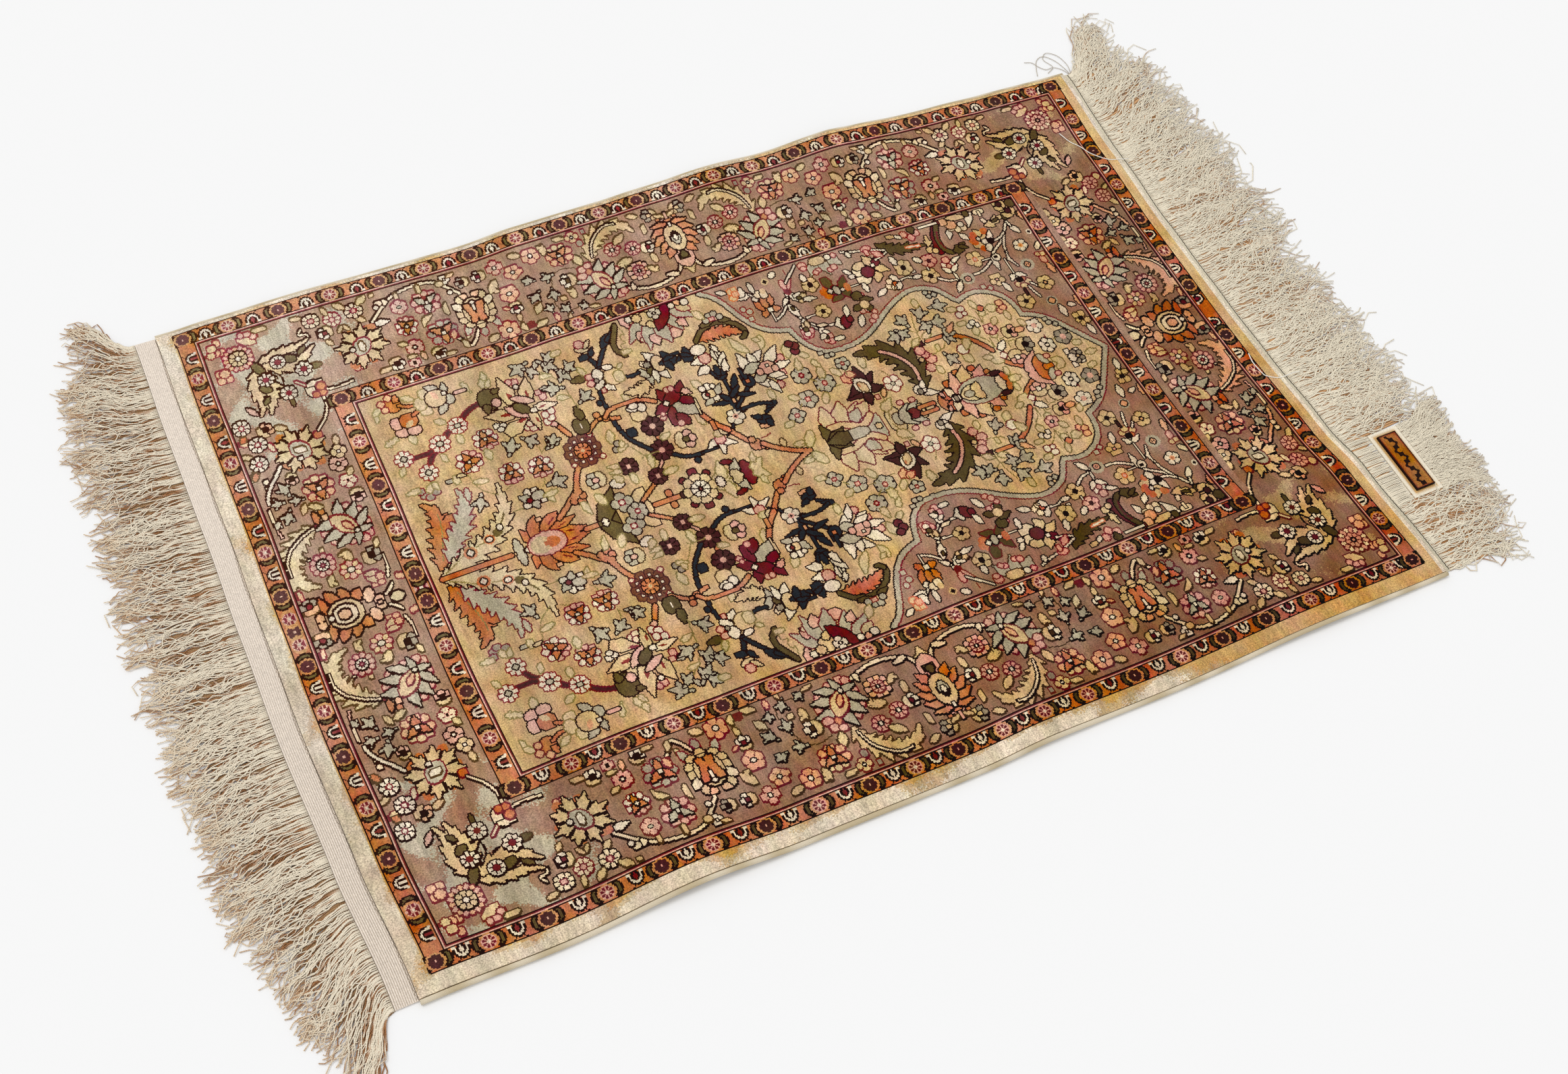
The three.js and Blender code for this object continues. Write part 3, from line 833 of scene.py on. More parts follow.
FIELD_LEFT = """
Z ok 20 7 -301,8 -295,24 -291,38 -288,52 -290,62 -297,70
L ok -281,47 15 9 -60
L o- -287,44 14 8 -60
S A- 1 -297,16 -292,30 -288,44 -287,56
Z gv 19 8 -293,13 -284,27 -274,38 -267,50 -263,62 -266,73
L gv -258.5,65 12 5 -85
K= g- -264,54 12 6 -70
Z ek 20 11 -305,0 -285,7 -262,16 -245,28 -236,42 -233,66
D o- -275,14 5.5 -257,20 4.6
R wkwp -275,14 2.6 4
R wkwp -257,20 2.2 4
E d- -248.5,24 5 3.6 -35
D wk -245.5,27.5 2.2
S d- 1.6 -243,31 -240,34.5 -238,38
S A- 1 -299,4 -290,8.5 -281,14
S A- 1 -269,17.5 -262,19
S ok 3.4 -246,0 -275,0 -304,0
L gk -239,4 18 6.4 90
L wk -230.5,0 8 6 0
K ok -229,12 17 9 -118
L ok -221,17 21 10 -68
L ok -208,17.5 23 9.6 -36
K ok -197.5,12 24 9 -18
K ok -192,3.6 24 9.6 4
E pv -216,0 16 10.6 0
E e- -221,0 8.6 8 0
E o- -212,0 6.5 4.8 0
D y- -217,4 2
L v- -206,17.5 10 1.4 -36
L v- -195,4 9 1.4 4
L v- -199,11.5 8 1.4 -18
D hk -214.5,22.5 2
S ok 3.4 -183,0 -172,0
S ok 3.6 -199,17 -191,23 -183,30 -176,37 -171,48 -166,56
D ok -181.5,27 2.8 -175.5,25 3 -173,30 3 -175.5,34.5 2.8
S o- 4 -182,28 -177,33 -173,43
K eA -174.5,17.5 13 5.6 75
R tnnn -157,69 15.6 10
D wn -146.3,69 1 -148.3,75.3 1 -153.7,79.2 1 -160.3,79.2 1 -165.7,75.3 1 -167.7,69 1
D wn -165.7,62.7 1 -160.3,58.8 1 -153.7,58.8 1 -148.3,62.7 1
R okoy -157,69 7 8
D cv -143.5,58 2 -146,81.5 2 -168.5,58.5 1.8
S A- 1 -230,36.5 -222,36 -217,35
D wk -217.5,37.5 3 -203.5,38 2.4 -213.5,48.5 3.2 -207.5,48.5 2.6
K gk -210.5,35.5 8 6.6 80
K gk -218,44.5 10 7 -140
E gk -206.5,43.5 5 4 -15
D vk -214.5,41 2.1
K eA -197,36.5 7.6 4.4 70
L eA -196,41.3 13 4.4 -6
ivy gk -187,50 1.6 -5
S A- 1 -200,49.5 -197,53 -195.5,57
S A- 1 -236,56 -243,61 -248,67 -250,74 -252,82
S A- 1 -249,62 -247.5,54
ivy gk -251.5,54 1.4 115
L eA -244.5,72.5 13 4.6 15
S A- 1 -228,57.5 -222,61 -218,62.5
lily owp -219,71 0.82 -88
lily owp -194.5,68 0.82 -84
S A- 1 -188.5,78 -188.8,83 -190,88
S A- 1 -188.5,80 -184,84
ivy gk -178,86 1.3 -40
lily owp -246.5,93 0.88 128
lily owp -226.5,109 0.82 -96
D qv -290,77 3.6 -286.5,73.5 3 -280.5,76.5 3 -292,81 2.6
K eA -298.5,82.5 12 5 175
K eA -283,82.5 11 5.6 -50
K eA -279,81.5 8 4 70
L gk -267,81.5 8 4 5
K eA -262,81.5 8 6 -100
K ek -256,83 8 3 20
S nv 3 -277,101 -273,108 -267,113
S nv 3 -287,113 -278,112.5 -269,113.5
S nv 3.4 -257,122 -252,126 -247,128
S nv 3.2 -238,134 -230,139.5 -222,142.5 -216,143.5
R wrwk -280,95.5 7.4 8
R wrwk -294,114.5 7.4 8
R wrwk -262,118 8.3 8
R wrwk -242.5,129.5 7.6 8
D gk -280,95.5 2 -294,114.5 2 -262,118 2.1 -242.5,129.5 2
L eA -299,103.5 9 4.4 -50
L eA -263.5,104 10 4.6 75
L eA -229.5,94.5 10.5 5.4 85
L eA -245,116.5 10.5 5 85
L eA -254.5,138 11 5.6 35
Z eA 6 4 -303.5,131 -296,133.5 -290,137.5
L eA -280.5,130.5 11 5.6 80
L eA -272,169 11 5 35
L eA -301,159 9 3.6 105
L eA -299,165 9 5 -45
K eA -223,162 12 4 70
K eA -208.5,162 10 8 -90
K eA -204.5,160 8 4 -60
K eA -206,168 8 5 -90
E pk -286,139 5.6 4.4 20
E pk -276,138 5.4 4.6 0
E pk -288,148.5 4.6 5.6 0
E ok -277.5,148.5 7.4 7 0
L y- -278,145 10 5 -40
S ok 2.6 -272,152 -267,155 -263,157.5
K= ok -284,168 12 6.5 45
E ok -284.5,167 6.4 6.8 0
D hv -292,164.5 2.6 -293.5,171 2.6 -286.5,175 2.8
S ok 2.4 -280,165 -274,161.5 -265,160.5
K jk -281,173 8 5 -80
E eA -261,152 5 4 30
E eA -263.5,160 4.6 6 0
E eA -258,168.5 4 5 0
L gk -247,150 13 6.5 130
E gk -239.5,156.5 4 5 0
K gk -240.5,169 11 6 -80
K gk -251,172 12 7 -145
E yk -250,161 8.4 8.4 0
L h- -250,164 9 5 60
D wk -241.8,163.6 1.8
S pk 2.4 -233,160.3 -225,160.3
ivy gk -210,94 1.55 -60
ivy gk -193,94 1.4 40
ivy gk -176,87.5 1.2 -60
S ok 3.2 -161,87 -165,95 -169,104
L pk -169,102 6 4.6 60
K pk -206,112 7 5 60
D wk -213,117 2.6 -208,116 2.2 -211,113 2.2
D cv -190,107 2.8 -185.5,105 3 -187,109.5 2.4
D wv -173,106 2.8 -168.5,109 3 -166,115 3 -172,113 3
D pv -167,131 3 -169.5,136 2.2 -184,153 2.6 -188.5,154.5 2.2
K yk -197,111.5 24 13 -25
K yk -181,110.5 20 8 88
K ck -167.5,121.5 20 8 8
K yk -207,126 25 13 -168
K yk -201,135 17 10 170
K yk -194.5,148 29 13 -97
K yk -177.5,143 25 13 -72
L r- -191.5,115 10 3 -10
L r- -201,124.5 13 4 5
L r- -192.5,140 11 4 -110
L r- -178.5,137 10 3 -85
L r- -179.5,111 8 1.6 85
L r- -171,122 9 1.6 -15
L pk -193,124 22 7 45
L pk -184,134 22 6 30
E dk -187.5,126 7.6 4 42
D d- -181.5,120.5 2.2
D wk -178.8,121 2.4
D wk -184.5,148 1.6
E dk -210,144 8.6 10.6 0
K dk -214,135 9 7 100
D pk -205,139 3.8
K dk -201.5,150.5 7 5 -20
ivy gk -176,164 1.6 155
ivy gk -167,158 1.3 40
L gk -162,137 9 5 20
L gk -161,163 9 4 -60
"""

FIELD_MIDDLE = """
S ok 4.6 -97,0 -122,0
D ok -108,6 2.8
E dk -163,0 9 11 0
K dk -158,15 33 15 -56
D wk -166,1.5 2
L yk -131.5,12.5 18 10.5 -50
E yk -130,0 4.6 7.6 0
B gkrw -146.5,12 8.4 4
B gkrw -138,0 7.6 6
D nk -96.5,0 3.4
D vk -92.5,12 2.7 -71.5,12 2.7 -82,17 3.4 -66,1.5 3
R ykkw -82,0 14.6 8
R wkww -82,0 7.6 8
D wk -82,0 1.6
D rk -82,0 1
K eA -62,5 15 12 180
K eA -59,11 18 9 -82
D wk -64,1.5 3
K gk -46.5,10 14 8 -62
K ek -48,2 11 8 30
L vk -51.5,15.5 10 4 15
L vk -38,2 22 10 82
K eA -28,5 14 9 -35
K eA -29,12 9 5 -70
L eA -161,21 13 6 68
S ok 2.6 -130,7.5 -122,13 -115,18
R nknp -109,24 7.6 8
S pk 1.6 -104,31 -101,34.5 -99,37
R nknp -96,45.5 9.8 8
S ok 2 -94,57 -94,61
R nknp -94,69.5 9.2 8
R nknp -128,41 7.9 8
L eA -97,25 13 5.6 -5
L eA -128,29 10.5 5 85
L eA -108.5,39 13 5 -80
K eA -140,40 9.6 4 -175
K eA -140,45.5 9 4.6 -165
K eA -87,57 10 5 -15
L eA -54,61 13 5 72
L eA -131,72.5 13 6 -78
L eA -42,93 12 6.4 60
L eA -103,103 10 4.6 65
E wk -143,29.5 5.6 4 15
K eA -140.5,34 9 6 -130
side egp -157,39 1.7 180
D qk -131,59.5 2.6 -128,64.5 2.8
K eA -125,59 9 4 -20
K eA -124.5,63.5 7 4 -70
S ik 2.4 -88,38 -82,33.5 -74,31 -66,30.5
S ik 1.7 -66,30.5 -58,31 -52,30.5
E ik -72,26 2.4 2.7 0
S ik 1.4 -39,39 -33,42.5 -29,47
S ik 2.5 -104,49 -111,57 -117,66 -121,77
S ik 2.8 -121,77 -122.5,88
S ik 2.1 -122,100 -122,110 -120.5,119
E ik -112.5,70 4.2 4.5 0
D ik -125.5,106.5 2.2
S A- 1 -99,45 -110,46 -114,44
S A- 1 -111,44 -116,53 -120,59
side epd -74,48 1.9 5
K wk -47.5,29 14 5.4 100
K wk -40,32 13 6 25
K wk -54.5,35 12 6 150
E pv -46.5,37 4 3.6 0
L eA -45.5,43 9 6 0
K ek -40.5,42.5 8 5 70
S ok 3.4 -14,16 -22,23.5 -30,34 -36,43
S ok 3.8 -36,43 -44,52 -50.5,64
S ok 2.4 -46,55 -46,48
L ok -20.5,21.5 13 9.6 50
D ok -22,27 2.6 -15.5,17.5 2
B wkpk -25,52.5 7.4 5
S ik 1.4 -17,54.5 -14,56
L gk -62,77 31 12 38
L vk -73.5,72 20 8.6 -78
L vk -66.5,66.5 15 8.6 62
K vk -80.5,81.5 14 9 155
L vk -56.5,82.5 16 7.6 30
K vk -74.5,95 13 9 -105
K vk -64,91 20 12 -30
K vk -56.5,97 12 8 -60
D pv -70,63.5 2.6 -82,73.5 2 -81,77 1.8 -68,97.5 2.8 -64.5,97.5 2.2
K pk -53,90 9 6 40
D wk -74,85.5 2
S ek 1.4 -51,66 -50.5,74 -50,80
S ik 2.1 -20,58 -18.5,75 -18,90
K ik -31,68.5 17.1 4 -170
K ik -25.5,73 15.2 4.3 -130
K ik -13.5,77 20.9 4 -58
K i- -20,66 20 9 -95
K hk -19.5,67 9 2.4 90
K gk -39.5,73.5 10 6 155
K gk -27.5,82.5 12 7 -50
D wk -40,80 3 -32,75 2.6 -35,88 3 -40,87.5 2.6 -30.5,87 2
D yk -34.5,80.5 3.4
D rk -38,80.5 1.1
E yl -100,84 7 6.4 0
E wk -101.5,92 6 3.6 0
E wk -95,90 3.6 4 0
S ok 2.8 -146,83 -139,89 -132,92.5
S ok 3 -132,92.5 -124,89.5 -117,87.5
D ok -133,96.5 2.4 -127,91 3
S ok 3.2 -127,92 -121,97 -110,98.5 -98,98.5 -90,96 -82,91
E wk -101,93.5 4 3 0
E dk -149,91.5 6.6 8 0
K dk -146,105 15 7.4 -95
L w- -149,91.5 6 1.4 90
S A- 1 -144,109 -145,118 -146.5,130 -150,142 -157,151 -161,155
S A- 1 -144,110 -139,114.5
S A- 1 -148,134 -153,133
Z yk 13 5 -78,113 -85,107 -93,106 -102,108
K gk -75.5,114 15 7 95
L gk -79,120 12 6 60
E dk -72.5,120 2.6 4 0
S ik 2.1 -97,124 -90,121.5 -83,122.5
K ck -73,128 11 6 20
K wk -70,113 13 6 100
K wk -62,113 13 7 65
K wk -68,134 15 8 -125
D qk -73,127 2.6
E yk -63.5,125 5.4 8 0
K ik -55,124 17.1 10.1 180
K ik -55,119 13.3 5.8 75
K ik -55,131 11.4 5.8 -110
K ik -50,128 15.2 3.6 -15
S ik 1.7 -50,129.5 -43,129
K ik -43,123.5 11.4 4.3 150
K ik -37,125 15.2 10.8 -85
K= ik -37,124 9.5 3.6 25
ivy gk -134,117 1.4 -30
ivy gk -156,134.5 1.5 195
ivy gk -143,145 1.6 60
ivy gk -136,149.5 1.3 -30
ivy gk -152,158.5 1.6 45
ivy gk -149,165 1.2 -50
L eA -141,166.5 10 5.6 -15
K eA -151,123 10 4.6 20
K eA -157,148.5 10 4.6 15
L dk -132,134.5 16 6.4 5
L eA -127.5,141 10 4.6 70
K wk -110,118 9 8 60
D pv -124.5,127 2.6 -123.5,133.5 2.8 -117,117 2
K wk -117,124 12 6 -35
E yl -104.5,127.5 7.6 8.4 0
E eA -99.5,125.5 4.4 5.6 0
L eA -95,135 6 3 -40
E wk -116,133.5 4.2 5.2 0
D qk -119,128 1.8
K wk -107,138 11 5 -160
S ik 2.8 -112,140 -114.5,147 -117,152
K ik -118,154 13.3 5.8 -10
K ik -112,157 8.5 4.3 -60
E ek -119,162 5.6 3 15
K ek -113,166 10 4 -45
D pv -119.5,167.5 3.6
S ik 2.5 -111,142 -104,152 -98,160
L ik -97,163 17.1 6.5 -50
S ik 3.1 -95,163 -89,168 -83,175
S dk 4 -86,143 -91,150 -91,158 -87,166 -83,174
K eA -83,146 9 5 0
S A- 1 -85.5,147 -85.5,154 -81,155 -83.5,160 -81,164 -78.5,163 -80,170
K pk -73.5,173 14 7 75
D wk -69.5,175.5 2.6
K gv -69,161.5 26 11 132
K pk -66.5,155 11 8 110
D cv -66,152 1.6
K gv -60,152.5 26 11 105
K pk -54.5,148 12 11 85
E pk -36,149 6 5 -20
K gv -45.5,152 24 13 75
K gv -33.5,160 25 11 68
K pk -26.5,155.5 10 8 60
K gv -23,166 25 12 42
L ev -20.5,171 15 8 40
E yk -55.5,171 6.6 7 0
K yk -52.5,163 9 6 60
D yk -62.5,174 3.6
L r- -42,166.5 25 14 -50
L vk -41,168 29 11.5 -55
B wkkw -46,174 5.6 4
D wk -29,175.5 2.4
K hk -23,176 6 5 80
D wk -16.5,175 3
E ik -19,94 5.1 3.8 0
K ik -23.5,97.5 10.4 4.3 -135
K ik -19.5,101 9.5 4.3 -90
K ik -14,98 9.5 4.3 -45
"""

FIELD_RIGHT = """
E yl -20.5,107 8.6 8 0
K ik -23.5,97.5 10.4 4.3 -125
K ik -19.5,100.5 11.4 5.8 -90
K ik -14,98 9.5 4.3 -55
K wk -31,103.5 13 8 160
K wk -31,114 14 8 175
K wk -13.5,117.5 19 8 -95
E pv -24,115 4.4 5 0
E wk -26,125 6.6 5 0
K wk -10,109 16 7 -60
S wk 1.6 -13,113 -13,124
L ik -12,82 20.9 5 -65
S ok 3.4 -15,20.5 -8,14 0,8.5 9,3.5 19,0
L yl 1,15 8 4.4 85
L eA 14,8.5 11 5.6 10
L eA 23.5,10 17 8 -62
L A- 17,7 6 1.2 10
S r- 1.2 -14,25.5 -9,25.8 -5,27
K hk -5,37 12 11 150
E ik -3.5,41 6.3 4.1 20
K ik 0,36 7.6 5.8 80
K ik -9,45.5 8.5 4.3 -150
S ik 1.8 1,47 9,50.5
K ik 8,52 11.4 5 160
S ik 2.1 -16,56.5 -6,57.5 2,56 9,53
S ik 2.1 -20,60 -10,68 -2,76
K ik -6,69 15.2 4 15
K ik -14,76 15.2 4.3 -40
K= ik -1,81 15.2 6.5 80
E ik 1,80 5.4 4.9 0
K ik -1,89 11.4 4.3 -100
D ok 0,80.5 1.5
B gkrp 24,34 6.8 4
B gkrp 40,45.5 8 5
B gkrp 61,55 8.4 6
B gkrp 45.5,69 8 6
B gkrp 84.5,67.5 6 5
S A- 1 30,40 33,43
S A- 1 48,50.5 54,51
S A- 1 55,59 51,63
S A- 1 69,49 73.5,48
L eA 14,28.5 9.5 5.6 -20
L eA 29.5,51 11 5.6 35
L eA 55,41 11.5 5.6 -65
K eA 63,67.5 14 7 -80
K eA 63,75 9 5 60
L eA 75,61.5 12 5.6 55
K eA 48,80.5 11 6 -80
L eA 13,61 10 5.4 82
L eA 57,87 10 4.6 40
L eA 101,63 13 6 -80
K e- 101,69 7 5 160
K ev 45.5,24 21 14 -86
K ev 60,24.5 21 16 -76
K ev 72,22 17 10 -50
K ev 80,21 18 12 -35
K xv 71,17 14 12 -50
L gv 79,3 24 20 -48
S yv 5.4 44,12.5 54,12 63,8.5 71,5 78,9 82,12.5
E gl 63,0 12 5 0
E wk 46.5,7.5 3 1.6 0
K dk 38.5,9.5 20 9 -102
K dk 47,5 18 9 -32
K dk 46,0 22 14 180
D yk 84,0 2.6
K ck 88.5,25 10 4 60
L ek 100,4 18 14 -60
L gl 103,2 10 8 -20
K gk 112,5 18 9 -50
K gk 121,7 15 7 -35
D pv 112,14 2.3 123,13 2.1
L vk 119,2 9 6 20
K eA 101,16.5 14 9 -40
S A- 1 96,3 99,10
S A- 1 101,20 101,24 107,26.5
D pv 97,26 2
L hl 104,28 9 4 -70
L yk 126.5,3 10 5 75
B wrkg 116,33.5 7.8 5
S A- 1 117,41 114.5,46 112,49.5
K nk 82,34 24 9 170
K nk 83,39 20 9 150
K nk 89.5,27 12 8 95
K nk 100,35 14 9 5
K nk 99,46 16 7 -45
K nk 92,52 19 9 -95
L wk 90,41 18 13 65
L yl 90,39.5 12 7 65
L o- 87.5,42 5 2 70
K hr 80.5,51 9 8 70
K hr 86,54.5 9 6 20
S A- 1 83,56 83,60
D pv 25,67.5 3 32,78 2.6 32,92.5 3.6 36,92 3.4 20,68 2.4
K wk 16.5,72 16 8 35
K wk 20,66.5 14 6 70
K wk 29,74 12 5 20
K wk 36,85.5 15 7 -5
K wk 27,78 14 8 20
K wk 5,99 22 10 -100
K wk 18,101 16 9 -30
K wk 31,98 21 10 -45
K wk 13,101 14 7 -100
L gk 12,80 13 9 -25
L gk 9,91 18 9 -15
L pk 22,87 16 13 10
D pk 14,85 3 28,84 2.8
D wk 22.5,89 1.5
L eA 8,115 22 6.6 60 2
L eA 28.5,112.5 14 6 -75 1
L eA 25.5,116 6 4 30
L eA 45,96 14 7.6 -80
D vk 52,93.5 3.2 54,98.5 3.2 50,102 3.2
K wk -10.5,103 13 6 -70
L wk -12,121 8 4 80
Z jk 14 7 -22,134 -10,135.5 2,135 12,131 19,126
S dk 3.6 -24,133 -17,140.5 -6,144.5 5,143.5 14,139 20,131.5 20.5,126
S dk 3.4 20,126 17.5,122.5 15.5,122.5
K dk -6,147 16 5 -10
K dk 9,145 12 5 20
D gk -7,150 2.8 -3,154 2.4 2,154 2.6 6,149.5 2.8
D pr -1.5,149.5 2
L eA -11,157.5 12 6 60
L hk 150,3 16 11 -50
L ok 149,3 20 9 -60
K jk 155,4 14 8 40
K ck 157,8 11 7 -110
S ok 3 125,3 132,3.5 139,3
D ok 159.5,16 3.4 172.5,23.5 2.6 187.5,22.5 2.8 198.5,14.5 2.6
K pk 166.5,15 22 11 -84
K yk 178,20 17 13 -68
K pk 192,16.5 16 11 -55
K yk 197,9 16 8 -20
L pk 150,8 7 3 60
E gv 184,2 20 11 0
L ek 175,2 23 11 -20
L yk 181,3 13 8 -60
L gl 173,0 10 6 0
D wk 160,1 3.2
D qk 160,1 1.5
K ck 205,1 12 9 100
L ok 211,4 16 5 68
K nk 205,11 8 5 0
L eA 215.5,9 9 4.6 -80
L eA 219,0 13 6 10
S ok 3.6 240,2 231,9 225,13 220.5,17
L eA 214.5,24 14 12 60
L eA 207.5,27 9 5 15
D wv 221.5,24 2.6 221.5,30 2.4
K wk 226,34.5 12 6 -42
K e- 218,28 8 4 -70
S ok 3.4 215,32 210,40 204,48 197,54 188,59.5
S ok 2.4 165,61.5 180,61.5
K gk 183.5,57 12 7 110
K gk 187,56 9 5 60
K gk 186,65 11 6 -90
K gk 191,61 7 4 0
K hl 192,67 12 5 -40
Z dk 26 7 139,18 141,32 140,45 134,57 123,67 98,72
S pk 2.6 140,28 141,40 137,51 129,61 121,67
K wk 143,13.5 14 6 20
E wk 135,19.5 5.4 4.6 0
K wk 139.5,24 8 5 -70
D qk 134.5,17.5 2.2
D pv 155.5,36 3.6 160,44 4.2 157,49.5 3 154.5,55 4
D yk 151.5,46 2
L eA 162,31 9 5 80
ivy gk 177,38 1.4 60
L eA 191,33 11 7 65
E wv 191,42.5 5 5 0
K eA 196.5,46 12 7 120
S A- 1 163,47 170,48.5 176,50 180,55
L eA 171,52 7 3.6 -65
K nk 159,60.5 6 5 40
L eA 155,64 10 5 -35
L eA 168,67 10 5 -20
S A- 1 161,65 161.5,72 162.5,80 166,92
S A- 1 161.5,72 157,76 154,79
S A- 1 162,73 166,75
ivy gk 142,75.5 1.5 175
ivy gk 149,76 1.3 50
ivy gk 173,75.5 1.4 175
ivy gk 184,76.5 1.5 10
ivy gk 155,88 1.4 -110
ivy gk 173,89.5 1.5 -60
ivy gk 193,91.5 1.5 5
L eA 175,100.5 10 5 -85
side epw 232,19 1.6 85
S A- 1 232.5,29 231.5,35
side eqk 245,28 1.7 25
S A- 1 241,34.5 230,36.5
S A- 1 227,40 236,42
S A- 1 225,38.5 225,46
S A- 1 217.5,34 217,42 210,51 211.5,56
S A- 1 219.5,34 219,44
side epk 239,44.5 1.5 0
L hl 249,43.5 9 6 0
L eA 224.5,47 8 6 80
B pvkw 225,53 5.8 5
L eA 232.5,59.5 10 5 -50
L eA 211.5,55.5 9 6 -80
D wk 209,62.5 2.6 213,64.5 2.4 216,61 2
L eA 203.5,67 9 5 5
S A- 1 222,61 218,68 213,73
S A- 1 222,61 221.5,75
S A- 1 223,63 226,68 231,68
L eA 226.5,71 8 5 -60
D jk 227.5,76 2.6
S A- 1 231,75 236,75.5
K eA 238,73 10 8 -5
D hv 243.5,67.5 2.6 247.5,70 2.6 246.5,75.5 3
D wv 206,76 2.8 211.5,76 2 210.5,81.5 2.8
L eA 202.5,83.5 9 5 10
L eA 223,82 10 4.6 75
L eA 247,61 10 4.6 85
B wkkw 264,20 7.2 6
S v- 1 266,27 267,30
B wkpp 263.5,42.5 7.2 5
L eA 255,49.5 9 5 62
B qkpp 282,23 7.4 5
L eA 290.5,13 10 5 15
S A- 1 271.5,23 275,24
L eA 264,3 11 5.6 30
K pk 241,10 24 11 -52
L ok 246,4 20 11 -80
L ok 253,0 10 8 0
L gl 252,8.5 13 6 65
D pv 257,10 2.2
L eA 297,0 11 5.6 0
K wk 277,5.5 9 5 80
D wk 284.5,5 3
D qk 281,4.5 2.4 286.5,3 2
L wk 278,1.5 7 4.6 0
"""

